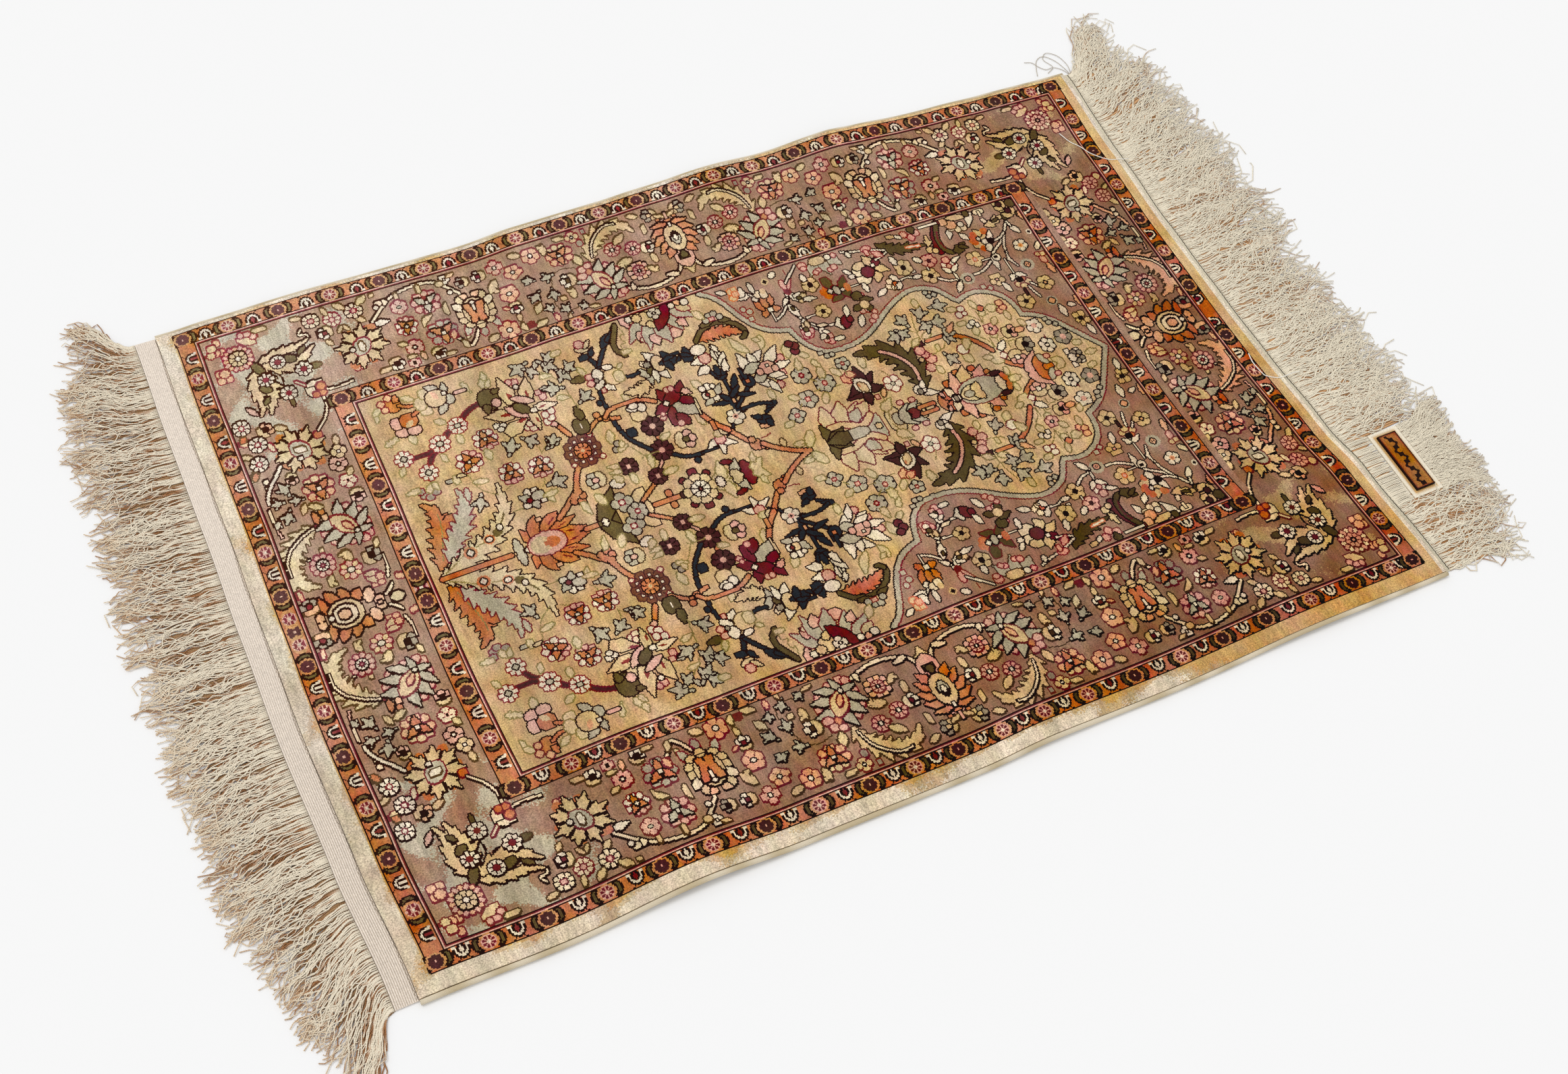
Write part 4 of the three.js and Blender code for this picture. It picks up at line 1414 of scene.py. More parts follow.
SPANDREL = """
S wk 1.7 73,156 70.5,145 68,134 73,122 78,113 84.5,103
S wk 1.6 71,146 64,136 57,130.5 51,128
S wk 1.6 51,128 51,136
K wk 66.5,142 9 4 135
L wk 70.5,132 15 6.4 72
L dk 70.5,134 5 2 72
L wk 73.5,116.5 9 4.4 100
L wk 69.5,112.5 7 4 120
K wk 84,102 11 6 100
K wk 87.5,100 9 5 60
L yk 72,113 8 4 75
S wk 1.5 79,114 84,109.5 91,107.5 101,107
L ck 87,109.5 9 3.6 15
K wk 102,105.5 8 13 180
L vk 108.5,105.5 14 9 -70
D vk 113,107 2.8
L wk 114,115.5 12 5 -68
L wk 122,101.5 13 5.4 -62
D pr 87,92 3.2 83.5,94 2.4 88.5,97 2.4
D dk 85,97 1.8
K wk 82,98 7 5 140
L wk 95,92 10 5 5
D pr 69,103.5 2.6 72.5,104 2.8 69,108 2.6 75,107.5 2.6
D wr 71,105.5 2.4
D dk 71.5,110 1.6
K yl 75,114 7 4 80
S wk 1.5 78,121 84,121.5 90,121.5
B ylkk 94.5,122.5 6.6 5
K wk 78,143 14 6 60
K wk 83,145.5 12 5 0
D yl 82.5,139.5 2.8 85,143 2.6
D dk 80.5,142.5 1.5
K wk 90,138.5 12 5 12
K vr 74,152 6 6 90
L pr 73,160 11 5 85
S pr 2 76,155 79,160 82,166
S wk 1.6 76,161 83,167.5 92,176
L r- 80,172 8 1.5 85
L ok 46,138 9 6 -60
L ok 56,139.5 9 6 10
D wk 51.5,140 2.2
L ok 43.5,147 14 5.6 70
L ok 49.5,149 13 6 88
L ok 55.5,149.5 12 5 -80
D wk 43.5,155 2.6
D ck 47.5,158.5 3.6 52.5,156.5 3.4
L wk 44.5,167 12 4.6 85
E y- 53,160 2.4 3 0
S wk 1.4 42,158.5 38,163
K wk 33.5,160 11 6 170
K wk 34.5,166.5 11 6 -80
D yj 26,163 3.2 26,169.5 3 29.5,171 2.2
D hj 29,166 2.6
L wk 17.5,171.5 10 4.4 25
D dk 59,168.5 2
L wk 68,173 8 5 -30
D ky 59,168.5 2
B ylkk 96,152 7.4 5
K wk 93,161.5 9 5 -95
K gl 105,166 14 11 125
K gl 117.5,165 18 10 80
K gl 129,168 13 12 50
D pr 110,164 2.4 121,161 2.4 125,162.5 2.6 107,162.5 2
E yl 113,174 7.4 4.4 0
D pr 98,173 3.6 98,170 2.2 130,174.5 2.2
D wk 124,174.5 2.4
S wk 1.5 118,138 128,137.5 139,137.5
D oj 106.5,136 2.8 104.5,140.5 2.8 108,143.5 2.8
K dv 113,131 14 8 160
K dv 111,147 16 9 80
K dv 124,132 14 8 70
K dv 125,145 16 8 -60
K dv 113,139 12 10 180
D wk 110,139.5 2.2
L gk 116,138.5 10 6 85
D wk 121.5,137.5 1.8
L oj 126.5,138.5 7 4 90
D pr 128,110.5 2.8 133.5,110 2.8 134,126.5 2
K dk 124,114.5 9 6 160
K dk 135.5,110 12 6 80
K dk 131,125 12 10 60
K dk 137,120 12 7 10
D yl 132.5,116 4.2
D pr 135,102 2.4 137.5,106 2
E ck 145,141 7 6.4 0
K yk 157.5,138 12 9 110
K yk 166,145 13 8 35
E ck 143,150 5 5 0
E yk 146.5,155 6.4 3.8 -10
K yk 156,158.5 12 9 -115
K vk 163.5,155 10 7 -60
D wk 159,151.5 1.8
L wk 142,132 11 4.4 85
D vk 151.5,146.5 5.8
D wk 135.5,147.5 2.6
L wk 133.5,153 9 3.4 50
L wk 154,122 12 5 -25
D cl 163,125.5 3 166.5,122.5 2.4 165,130 2.6 169,121.5 2.2
D jk 169,126 2
K wk 172.5,124 10 5 -60
K wk 171.5,131 10 5 55
S wk 1.5 176,128 182,128.5 188,126.5
L wk 191.5,126 9 4 0
K wk 191,132 5 3 40
B ylkk 203.5,123 7.8 5
S wk 1.4 205,130 205,136
B ylkk 184,139 8 6
L wk 178.5,149 11 5 80
B pvnn 209.5,138.5 6.6 5
L wk 200,142.5 9 5 40
E x- 234,109 6.6 6.6 0
R pkkp 234,108.5 2.4 4
L wk 223,103.5 13 5 -52
S wk 1.6 209,118 217,112.5 226,111
S wk 1.6 226,112 224.5,121
K wk 220,124.5 10 5 -125
K wk 229,124 10 5 -35
D wv 221,130 2.6 228.5,130 2.6
D pv 224.5,134 3 224.5,127 2
K wk 234,132 9 4.4 -20
S wk 1.7 242,111 251,112 259,116 265,120
B ylop 251,126 8.2 5
S wk 1.5 257,122.5 264,122.5
Z wk 5 2 266.5,108 267.5,114 266,120 269,126
E wk 271,122 3.4 4 0
L kk 270.5,122.5 3.4 1.4 90
B ylkp 258.5,99 6.8 5
L wk 263,88.5 12 5 70
E x- 294,105 6.6 6.6 0
R hkkh 294,105 2.6 4
E x- 293.5,61 5 5 0
R hkkh 293.5,61 2.8 4
S wk 1.6 277,96 277,106 277,117
K wk 273,96 8 5 125
K wk 282.5,96.5 10 5 30
D yv 274,87.5 2.8 278.5,84.5 2.8 284.5,88 2.6
D ov 281.5,92 2
D kk 278,92 2.2
B ylkk 271,68.5 7.8 5
L nk 276.5,78 8 2 -80
S wk 1.4 286,69 283.5,76 282,82
S wk 1.4 291,79 286,85
L wk 297.5,48 14 5.4 87
B ylkh 298.5,81 7.4 5
D yl 305.5,33.5 2.6 308,29 2.6 313,31 2.6 310.5,39 3.4 305,39 2.6
D kk 308,35 1.4
L wk 311,21 12 5 78
K wk 309,50.5 8 5 30
L hk 316,53 14 4 85
L hk 312.5,94 13 5 80
L pr 311,105 9 5 80
D yr 309,112 2.4 313.5,111 2.4
L ck 314,121 12 5 -50
D kw 314,138 1.6
B wkho 299,126.5 6.4 5
S wk 1.7 270,127 277,132 285,137.5 291,144.5 296,151 299.5,157
S wk 1.6 282.5,124 284.5,132 290,143
S wk 1.6 278,139.5 285,141 291,145
Z wk 4 1 285.5,106 282,112 281,119 283,125
L wk 303,145.5 13 5 60
S wk 1.4 301,150 299.5,156
K yk 263,139.5 11 8 20
L oj 260,145.5 10 6 80
E yk 269,149 5 4.4 0
K yk 267,153 9 6 -120
D oj 265,134.5 2.2 262.5,151.5 2.4 274,152.5 2.4
K wk 271.5,136.5 13 6 -60
E wk 270,141.5 3 3 0
D wk 265,146 1.8
K wk 277,146.5 14 5.4 -65
D wk 275,140.5 2.4
D kk 275,140.5 1
L wk 253.5,152.5 11 5 52
L wk 242,160 12 5.4 -70
D cl 246.5,164.5 3 252,162 3 258,162 3
E hl 248,168.5 5 5 0
E hl 242,173.5 4 4 0
D wk 257,166.5 2.4
K wk 266.5,169 17 8 115
L yk 256,175 20 6 10
D dk 267,176 3
S vk 5 225,143.5 224.5,152 226.5,161 231,169 236,175
S dk 4 241,140 234,140.5 229,147 228.5,156 231,165 235,173
K dk 245,143 16 9 -35
K dk 248,142 9 4 30
S v- 1.6 231,146 229,156 231.5,165
D yk 216.5,149 3 221,146.5 2.8
Z yk 7 2 216.5,153 219,159 219.5,165
Z dk 13 6 171.5,171 179,164 190,159 202,157.5 216,155.5
S wj 1.6 197,158.5 209,157
S wk 1.5 164,156 170,157 177,160
S wk 1.5 138,175 148,171.5 159,169 168,166 177,162.5
L wk 143,170 6 4 70
E pr 161,170 4.4 2.6 0
L pr 160,166 7 3.6 80
L pr 168.5,161 10 5 45
D pr 206.5,167.5 3.2 212.5,171 3 201,172.5 3
K dk 210,175 8 7 90
L yk 188,174 9 4 15
L wk 195,171.5 7 3.6 30
S wk 1.6 218,175 236,175
Z yk 9 3 278,158 284,157.5 291,161 300,163
L dk 290,160.5 9 2.4 -25
L ck 279.5,163.5 7 3.4 70
E ck 279.5,174.5 5 3 0
L ck 279.5,172 6 3 90
D dk 302,161 3.4
R yknn 306.5,166 7.4 3
D nk 307,166.5 2.6
R yknn 302,175 6.4 3
D nk 302,176 2.4
D dk 313,174 4.6 315,160 3
L hk 316,158 10 4 85
"""

# The arch from the near edge of the field to its tip on the axis, one row for each lobe
ARCH = [
    "-1,177.5 7,171.5 14,162 20,149 25.5,138 32,128.5 40,121.8 49,117.6 58,115",
    "58,115 60,107 64,97.5 70,89.5 78,83.6 88,81.6 100,82 113,84.6 125,89.5 135,95.5 145,102 155,107.5 "
    "165,112 175,114.8 185,114.5 193,112 200,108 205,102 210,94 213,90.5",
    "213,90.5 222,93.2 231,94 240,91.6 248,87 254,80.5 257.6,73 259.2,65 259.5,57.5",
    "259.5,57.5 268,54 276,49 282.5,43 289,34 295,25.5 301,16.5 307,8 312.5,0 317,-4",
]

TREFOILS = """
D pr 131,98 2.4 135,101.5 2.4
D gk 76,79 2.4 71.5,83.5 2 80.5,79 2 191,103.5 2.2 196,103.5 2.2 189.5,108 2
D gk 278,41 2.2 283,37.5 2.2 276.5,45.5 2
D gr 31.5,137 2.2 33,144.5 2.4 28.5,148.5 2.2 242.5,96 2.2 248,92.5 2
"""


def arch():
    """The spandrel's ground and motifs, and the band along the arch: dark inside, crimson outside."""
    line = np.concatenate([curved(pairs(row.split())) for row in ARCH])
    place, mask = inside(np.concatenate([line, [(340, 0), (340, 180), (-1, 180)]]))
    spandrel = np.zeros(chart.shape, bool)
    spandrel[place] = mask
    lay(place, mask, "s", None)
    draw(SPANDREL)
    lay(*near_line(line, 4), "g")
    place, mask = near_line(line, 6.4)
    area = chart[place]
    area[mask & spandrel[place] & (area == CODE["k"])] = CODE["r"]
    draw(TREFOILS)


def field():
    """The field's motifs, and then the spandrel's over them."""
    for table in FIELD_LEFT, FIELD_MIDDLE, FIELD_RIGHT:
        draw(table)
    arch()


block(*OUTER_GUARD[1], "b")
border()
block(*INNER_GUARD[1], "f")
field()
band(OUTER_GUARD)
band(INNER_GUARD)
guards()
margins()


# ----- Sizes, in millimetres ----------------------------------------------------------------------

BODY_THICKNESS = 3.2
FOUNDATION = 1.5
WEAVE_THICKNESS = 1.2
LEFT_WEAVE = (-459.8, -442.8)
RIGHT_WEAVE = (442.3, 447.3)
GAP = 0.3
# Teeth of a fringe's comb, and the run of them, from the near end, that holds the panel
TEETH = 35
PANEL_TEETH = (4, 8)

# Soft ripples near the edges: middle along and across, half length, half width, height
RIPPLES = [(-230, -318, 85, 75, 3.5), (325, -316, 95, 60, 2.2), (60, -318, 60, 45, 1.2),
           (190, 322, 70, 80, 3.5), (60, 320, 60, 60, 2), (-120, 316, 60, 60, 1.6),
           (-330, 312, 70, 50, 1.2)]
# Fringes: place along the edge, reach of the tips, their sideways sweep
LEFT_FRINGE = [(-306, 44, -46), (-270, 60, -34), (-210, 70, -18), (-100, 74, -6), (0, 74, 0),
               (100, 72, 2), (200, 72, 4), (270, 64, 14), (302, 38, 32)]
RIGHT_FRINGE = [(-306, 78, -4), (-250, 90, 0), (-160, 95, 4), (-60, 96, 4), (60, 97, 10),
                (160, 98, 20), (240, 94, 34), (302, 56, 52)]


def plan(u, v):
    """Straight chart place (u, v) to the rug's flat place: each edge's drift fades evenly to the other."""
    along = np.clip(u / (2 * GUARD_END) + 0.5, 0, 1)
    across = np.clip(v / (2 * GUARD_SIDE) + 0.5, 0, 1)
    x = u - drift("left", v) * (1 - along) + drift("right", v) * along
    y = v - drift("near", u) * (1 - across) + drift("far", u) * across
    return np.stack(np.broadcast_arrays(x, y), -1)


def lift(x, y):
    """Height of the underside: the sum of each ripple's height times (1 - dx^2 - dy^2)^2 inside it."""
    total = np.zeros(np.broadcast(x, y).shape)
    for middle_x, middle_y, half_length, half_width, height in RIPPLES:
        left = 1 - ((x - middle_x) / half_length) ** 2 - ((y - middle_y) / half_width) ** 2
        total += height * np.clip(left, 0, None) ** 2
    return total


# The frame's origin is the middle of the outline: the body's own corner gives the shift.
corner_u, corner_v = np.meshgrid(np.linspace(PILE_LEFT, PILE_RIGHT, 37),
                                 np.linspace(-PILE_SIDE, FAR_SIDE, 25))
SHIFT = np.array(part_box("rug_body")[0][:2]) * 1000 - plan(corner_u, corner_v).reshape(-1, 2).min(0)


# ----- Meshes -------------------------------------------------------------------------------------

def linear(code):
    """sRGB hex to linear: c / 12.92 below 0.04045, else ((c + 0.055) / 1.055)^2.4."""
    c = np.array([int(code[i:i + 2], 16) for i in (1, 3, 5)]) / 255
    return np.where(c <= 0.04045, c / 12.92, ((c + 0.055) / 1.055) ** 2.4)


def piece(name, points, faces, material, colours=None, maps=None, smooth=None):
    """A piece that rides on the rug: points in rug millimetres, four corners a face.

    Colours (linear) are by point or by face; maps are UVs by face corner.
    """
    points = np.asarray(points, float)
    mesh = bpy.data.meshes.new(name)
    mesh.from_pydata((points + (*SHIFT, 0)) / 1000, [], faces)
    mesh.polygons.foreach_set("use_smooth", np.ones(len(faces), bool) if smooth is None else smooth)
    mesh.materials.append(material)
    if colours is not None:
        shown = colours[faces] if len(colours) == len(points) else np.repeat(colours[:, None], 4, 1)
        shown = np.concatenate([shown, np.ones((*shown.shape[:2], 1))], 2)
        layer = mesh.color_attributes.new("yarn", "FLOAT_COLOR", "CORNER")
        layer.data.foreach_set("color", shown.astype(np.float32).ravel())
    for title, places in (maps or {}).items():
        mesh.uv_layers.new(name=title).uv.foreach_set("vector", places.astype(np.float32).ravel())
    mesh.update()
    made = bpy.data.objects.new(name, mesh)
    bpy.context.scene.collection.objects.link(made)
    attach(made, "root")
    return made


def grid_faces(rows, columns):
    """Faces of a grid of points, row after row."""
    first = (np.arange(rows - 1)[:, None] * columns + np.arange(columns - 1)).ravel()
    return np.stack([first, first + columns, first + columns + 1, first + 1], 1)


def slab(top, bottom, cover=True):
    """A closed slab between two grids of points: cover, underside and the four walls round them.

    Gives its points, faces, which of them are smooth, and which belong to the cover.
    """
    rows, columns = top.shape[:2]
    sheets = [(top, 1)] * cover + [(bottom, -1)]
    points, faces, smooth = [], [], []
    for sheet, way in sheets:
        base = sum(len(p) for p in points)
        points.append(sheet.reshape(-1, 3))
        faces.append(grid_faces(rows, columns)[:, ::way] + base)
        smooth.append(np.ones(len(faces[-1]), bool))
    for cut, way in ((np.s_[0, :], -1), (np.s_[-1, :], 1), (np.s_[:, 0], 1), (np.s_[:, -1], -1)):
        base = sum(len(p) for p in points)
        wall = np.stack([top[cut], bottom[cut]])
        points.append(wall.reshape(-1, 3))
        faces.append(grid_faces(2, wall.shape[1])[:, ::way] + base)
        smooth.append(np.zeros(len(faces[-1]), bool))
    points, faces, smooth = (np.concatenate(part) for part in (points, faces, smooth))
    a, b = top[1, 0] - top[0, 0], top[0, 1] - top[0, 0]
    if a[0] * b[1] - a[1] * b[0] < 0:
        faces = faces[:, ::-1]
    return points, faces, smooth, np.arange(len(faces)) < (rows - 1) * (columns - 1) * cover


def flat_map(points, faces, cover):
    """A UV map seen from above: the cover on 0 to 0.95 across, everything else squeezed beside it."""
    low, high = points[:, :2].min(0), points[:, :2].max(0)
    places = ((points[:, :2] - low) / (high - low))[faces]
    places[cover, :, 0] *= 0.95
    places[~cover, :, 0] = 0.96 + 0.04 * places[~cover, :, 0]
    return {"OFBake": places}


def tubes(paths, radii, sides=4, flat=1.0):
    """Closed tubes along paths (strand, station, 3), their rings square to the path's direction.

    Ring points are path + radius (cos a * side + flat sin a * up), with side level and up across both.
    Gives the points, faces with an end face on each end, and two UV maps: the yarn's own, around it
    and along it in millimetres, and one that lays the strands side by side.
    """
    strands, stations = paths.shape[:2]
    along = np.gradient(paths, axis=1)
    along /= np.linalg.norm(along, axis=2, keepdims=True) + 1e-9
    side = np.stack([along[..., 1], -along[..., 0], 0 * along[..., 0]], -1)
    side /= np.linalg.norm(side, axis=2, keepdims=True) + 1e-9
    up = np.cross(side, along)
    a = (np.arange(sides) * 2 * np.pi / sides)[:, None]
    radii = np.broadcast_to(radii, (strands, stations))[..., None, None]
    points = paths[:, :, None] + radii * (np.cos(a) * side[:, :, None] + flat * np.sin(a) * up[:, :, None])
    base = (np.arange(strands)[:, None, None] * stations + np.arange(stations - 1)[:, None]) * sides
    k = np.arange(sides)
    turn = (k + 1) % sides
    walls = np.stack([base + k, base + sides + k, base + sides + turn, base + turn], -1)
    walls = walls.reshape(strands, -1, 4)
    length = np.cumsum(np.linalg.norm(np.diff(paths, axis=1, prepend=paths[:, :1]), axis=2), 1)
    around, far = np.broadcast_arrays(k / sides, length[:, :-1, None])
    ahead = np.broadcast_to(length[:, 1:, None], far.shape)
    step = 1 / sides
    yarn = np.stack([np.stack([around, far], -1), np.stack([around, ahead], -1),
                     np.stack([around + step, ahead], -1), np.stack([around + step, far], -1)], 3)
    yarn = yarn.reshape(strands, -1, 4, 2)
    ends = np.arange(0, sides, 2)[:-1]
    first = np.arange(strands)[:, None] * stations * sides
    last = first + (stations - 1) * sides
    fan = np.stack([0 * ends, ends + 1, ends + 2, (ends + 3) % sides], -1)
    caps = [first[..., None] + fan, last[..., None] + fan[:, ::-1]]
    cap_maps = [np.zeros((*cap.shape, 2)) for cap in caps]
    cap_maps[1][..., 1] = length[:, -1, None, None]
    faces = np.concatenate([walls, *caps], 1).reshape(-1, 4)
    yarn = np.concatenate([yarn, *cap_maps], 1)
    column = (np.arange(strands)[:, None, None] + 0.1 + 0.8 * yarn[..., 0]) / strands
    packed = np.stack([column, yarn[..., 1] / (length.max() + 1)], -1)
    return points.reshape(-1, 3), faces, {"Yarn": yarn.reshape(-1, 4, 2), "OFBake": packed.reshape(-1, 4, 2)}


# Knots to a block's side
BLOCK = 8


def knot_runs(cells):
    """Rectangles of one colour inside the blocks: their first row and column, and the next past the last.

    Along each row a run starts where the colour or the block changes.  A run goes on where one of
    its length and colour follows in the next row, and the rectangle is as deep as they follow.
    """
    columns = cells.shape[1]
    starts = np.ones(cells.shape, bool)
    starts[:, 1:] = cells[:, 1:] != cells[:, :-1]
    starts[:, ::BLOCK] = True
    row, column = np.nonzero(starts)
    after = np.append(column[1:], 0)
    stop = np.zeros(cells.shape, int)
    stop[row, column] = np.where(after == 0, columns, after)
    goes_on = np.zeros(cells.shape, bool)
    goes_on[1:] = starts[1:] & (stop[1:] == stop[:-1]) & (cells[1:] == cells[:-1])
    goes_on[::BLOCK] = False
    depth = np.ones(cells.shape, int)
    below = np.ones(cells.shape, bool)
    for step in range(1, BLOCK):
        below[:-step] &= goes_on[step:]
        below[-step:] = False
        depth += below
    row, column = np.nonzero(starts & ~goes_on)
    return row, column, row + depth[row, column], stop[row, column]


def knot_pile(name, far, material):
    """One half of the pile: a closed slab whose cover is the chart's knots, run together.

    Block corners lie on the rug, and everything inside a block is bilinear between them, so no seam
    opens.
    """
    side = FAR_SIDE if far else PILE_SIDE
    cells = chart[:int(np.ceil(side))]
    rows, columns = cells.shape
    row, column, bottom, right = knot_runs(cells)
    across = (row + bottom) / 2 * (1 if far else -1)
    # Painted sheen: each knot's colour lightened or deepened by where it lies, as the nap catches the light
    colour = worn(cells[row, column], (column + right) / 2 + PILE_LEFT, across)

    lines_u = np.append(np.arange(0, columns, BLOCK), columns)
    lines_w = np.append(np.arange(0, rows, BLOCK), rows)
    u = np.minimum(lines_u * KNOT + PILE_LEFT, PILE_RIGHT)
    w = np.minimum(lines_w * KNOT, side)
    x, y = on_rug(*np.meshgrid(u, w), far)
    height = lift(x, y) + ruffle(x, y)
    cover = np.stack([x, y, height + BODY_THICKNESS], -1)
    under = np.stack([x, y, lift(x, y) + FOUNDATION], -1)

    corners = np.stack([np.stack([row, column], 1), np.stack([bottom, column], 1),
                        np.stack([bottom, right], 1), np.stack([row, right], 1)], 1)
    if far:
        corners = corners[:, ::-1]
    key, faces = np.unique(corners[..., 0] * (columns + 1) + corners[..., 1], return_inverse=True)
    faces = faces.reshape(-1, 4)
    at_row, at_column = key // (columns + 1), key % (columns + 1)
    i = np.minimum(at_row // BLOCK, len(lines_w) - 2)
    j = np.minimum(at_column // BLOCK, len(lines_u) - 2)
    s = ((at_row - lines_w[i]) / (lines_w[i + 1] - lines_w[i]))[:, None]
    t = ((at_column - lines_u[j]) / (lines_u[j + 1] - lines_u[j]))[:, None]
    points = ((cover[i, j] * (1 - s) + cover[i + 1, j] * s) * (1 - t)
              + (cover[i, j + 1] * (1 - s) + cover[i + 1, j + 1] * s) * t)

    rest, rest_faces, smooth, _ = slab(cover, under, cover=False)
    # Painted light: the walls and underside take the margin's sheen-lit ivory, paler than its gold yarn
    # would look in their shade
    margin = np.repeat(YARN_COLOURS[[CODE["z"]]], len(rest_faces), 0)
    faces = np.concatenate([faces, rest_faces + len(points)])
    points = np.concatenate([points, rest])
    is_cover = np.arange(len(faces)) < len(row)
    return piece(name, points, faces, material, np.concatenate([colour, margin]),
                 flat_map(points, faces, is_cover), np.concatenate([is_cover[:len(row)], smooth]))


def worn(letters, u, v):
    """Each face's colour with painted sheen, as the lean of the silk pile lights it from this side: linear
    colour to the power 1 + p.

    p deepens colours towards the near side, 0.0006 a millimetre, and towards the right end, 0.0005, so that
    the far left shows lightest; the pale grounds lean only across, and the orange dyes by 0.0011 in the
    right half alone.
    """
    along = np.where(np.isin(letters, [CODE[letter] for letter in "fmzou"]), 0.0, 0.0005) * u
    along += np.where(np.isin(letters, [CODE["o"], CODE["u"]]), 0.0011 * np.maximum(u, 0), 0)
    return YARN_COLOURS[letters] ** (1 + along - 0.0006 * v)[:, None]


def ruffle(x, y):
    """The slight unevenness of handled cloth: a few long waves of a tenth of a millimetre or two."""
    return (0.16 * np.sin(x / 31 + 1.7 * np.sin(y / 57)) + 0.12 * np.sin(y / 23 + 2 * np.sin(x / 71))
            + 0.1 * np.sin((x + y) / 17) - 0.1)


# ----- Materials ----------------------------------------------------------------------------------

# Dyed silk by day: each yarn as it looks lying in the pile
YARN_HEX = {
    "m": "#D0A870", "o": "#C67B4E", "f": "#CBA778", "b": "#9C755A", "s": "#A57F66",
    "g": "#B2A488", "k": "#1F0702", "r": "#7C2320", "n": "#47211F", "d": "#5C4A26", "l": "#4A3016",
    "t": "#6E3F2C", "e": "#CDB285", "y": "#D2B07E", "c": "#E3C8A0", "w": "#E0CCAE", "p": "#D49E86",
    "x": "#B5A68A", "v": "#6C1D20", "h": "#DBA277", "q": "#97866E", "i": "#23262B", "j": "#C56C40",
    "A": "#84713F", "C": "#B8986E", "T": "#CDB38E", "z": "#E0D0B8", "u": "#CC9560",
}
YARN_COLOURS = np.array([linear(YARN_HEX[letter]) for letter in YARNS])


def node(tree, kind, links=None, **settings):
    """Adds a node: settings are its properties, links its inputs, each a value or another's output."""
    made = tree.nodes.new(kind)
    for key, value in settings.items():
        setattr(made, key, value)
    for key, value in (links or {}).items():
        if isinstance(value, bpy.types.NodeSocket):
            tree.links.new(value, made.inputs[key])
        else:
            made.inputs[key].default_value = value
    return made


def finish_of(name, **principled):
    """A new material: its tree, its Principled shader with those plain values, and a Texture Coordinate."""
    material = bpy.data.materials.new(name)
    material.use_nodes = True
    tree = material.node_tree
    shader = tree.nodes["Principled BSDF"]
    for key, value in principled.items():
        shader.inputs[key.replace("_", " ")].default_value = value
    return material, tree, shader, node(tree, "ShaderNodeTexCoord")


def noise(tree, where, scale, stretch=(1, 1, 1), detail=3.0):
    """Noise with a grain of about 1 / scale metres, stretched along each axis."""
    moved = node(tree, "ShaderNodeMapping", {"Vector": where, "Scale": stretch})
    return node(tree, "ShaderNodeTexNoise", {"Vector": moved.outputs[0], "Scale": scale, "Detail": detail})


def spread(tree, value, low, high, start=0.3, end=0.7):
    """A value from start to end carried to low to high."""
    return node(tree, "ShaderNodeMapRange", {"Value": value, "From Min": start, "From Max": end,
                                             "To Min": low, "To Max": high}).outputs[0]


def shade(tree, colour, value):
    """A colour made lighter or darker by a value about 1."""
    return node(tree, "ShaderNodeHueSaturation", {"Color": colour, "Value": value}).outputs[0]


def silk_pile():
    """Knotted silk pile, clipped short: nearly matt, and its dye varies in streaks across the rug."""
    material, tree, shader, place = finish_of("knotted silk pile", Roughness=0.7, Specular_IOR_Level=0.06)
    where = place.outputs["Object"]
    yarn = node(tree, "ShaderNodeVertexColor", layer_name="yarn").outputs["Color"]
    # Abrash: batches of dye lie in streaks 10 to 20 mm wide that run across the rug
    streaks = noise(tree, where, 55, (1, 0.06, 1)).outputs[0]
    dyed = shade(tree, yarn, spread(tree, streaks, 0.79, 1.16))
    # Rows of knots catch the light unevenly, in flecks about 3 mm by 12
    flecks = noise(tree, where, 330, (1, 0.25, 1)).outputs[0]
    dyed = shade(tree, dyed, spread(tree, flecks, 0.82, 1.16))
    # Single knots, 1 mm apart
    knots = noise(tree, where, 900, (1, 1, 1), 1.0).outputs[0]
    dyed = shade(tree, dyed, spread(tree, knots, 0.66, 1.28))
    # Cloudy patches 40 mm across, a tenth lighter or darker
    clouds = noise(tree, where, 26).outputs[0]
    dyed = shade(tree, dyed, spread(tree, clouds, 0.89, 1.11))
    # Ageing turns patches a finger wide a little redder or greener, and fuller or duller
    patches = noise(tree, where, 110, (1, 0.5, 1)).outputs[0]
    dyed = node(tree, "ShaderNodeHueSaturation", {
        "Color": dyed, "Hue": spread(tree, patches, 0.486, 0.514),
        "Saturation": spread(tree, clouds, 1.15, 0.85)}).outputs[0]
    tree.links.new(dyed, shader.inputs["Base Color"])
    rough = node(tree, "ShaderNodeBump", {"Strength": 0.35, "Distance": 0.0006, "Height": knots})
    tree.links.new(rough.outputs[0], shader.inputs["Normal"])
    return material


def flat_weave(name, colour):
    """Plain-woven silk, matt, its threads 1.1 mm apart.  Colour None takes the yarn's own."""
    material, tree, shader, place = finish_of(name, Roughness=0.8, Specular_IOR_Level=0.1)
    where = place.outputs["Object"]
    fine = noise(tree, where, 1 / 0.0011, (1, 1, 1), 1.0).outputs[0]
    base = ((*linear(colour), 1) if colour
            else node(tree, "ShaderNodeVertexColor", layer_name="yarn").outputs["Color"])
    tone = shade(tree, base, spread(tree, fine, 0.86, 1.12))
    tree.links.new(tone, shader.inputs["Base Color"])
    rough = node(tree, "ShaderNodeBump", {"Strength": 0.4, "Distance": 0.0005, "Height": fine})
    tree.links.new(rough.outputs[0], shader.inputs["Normal"])
    return material


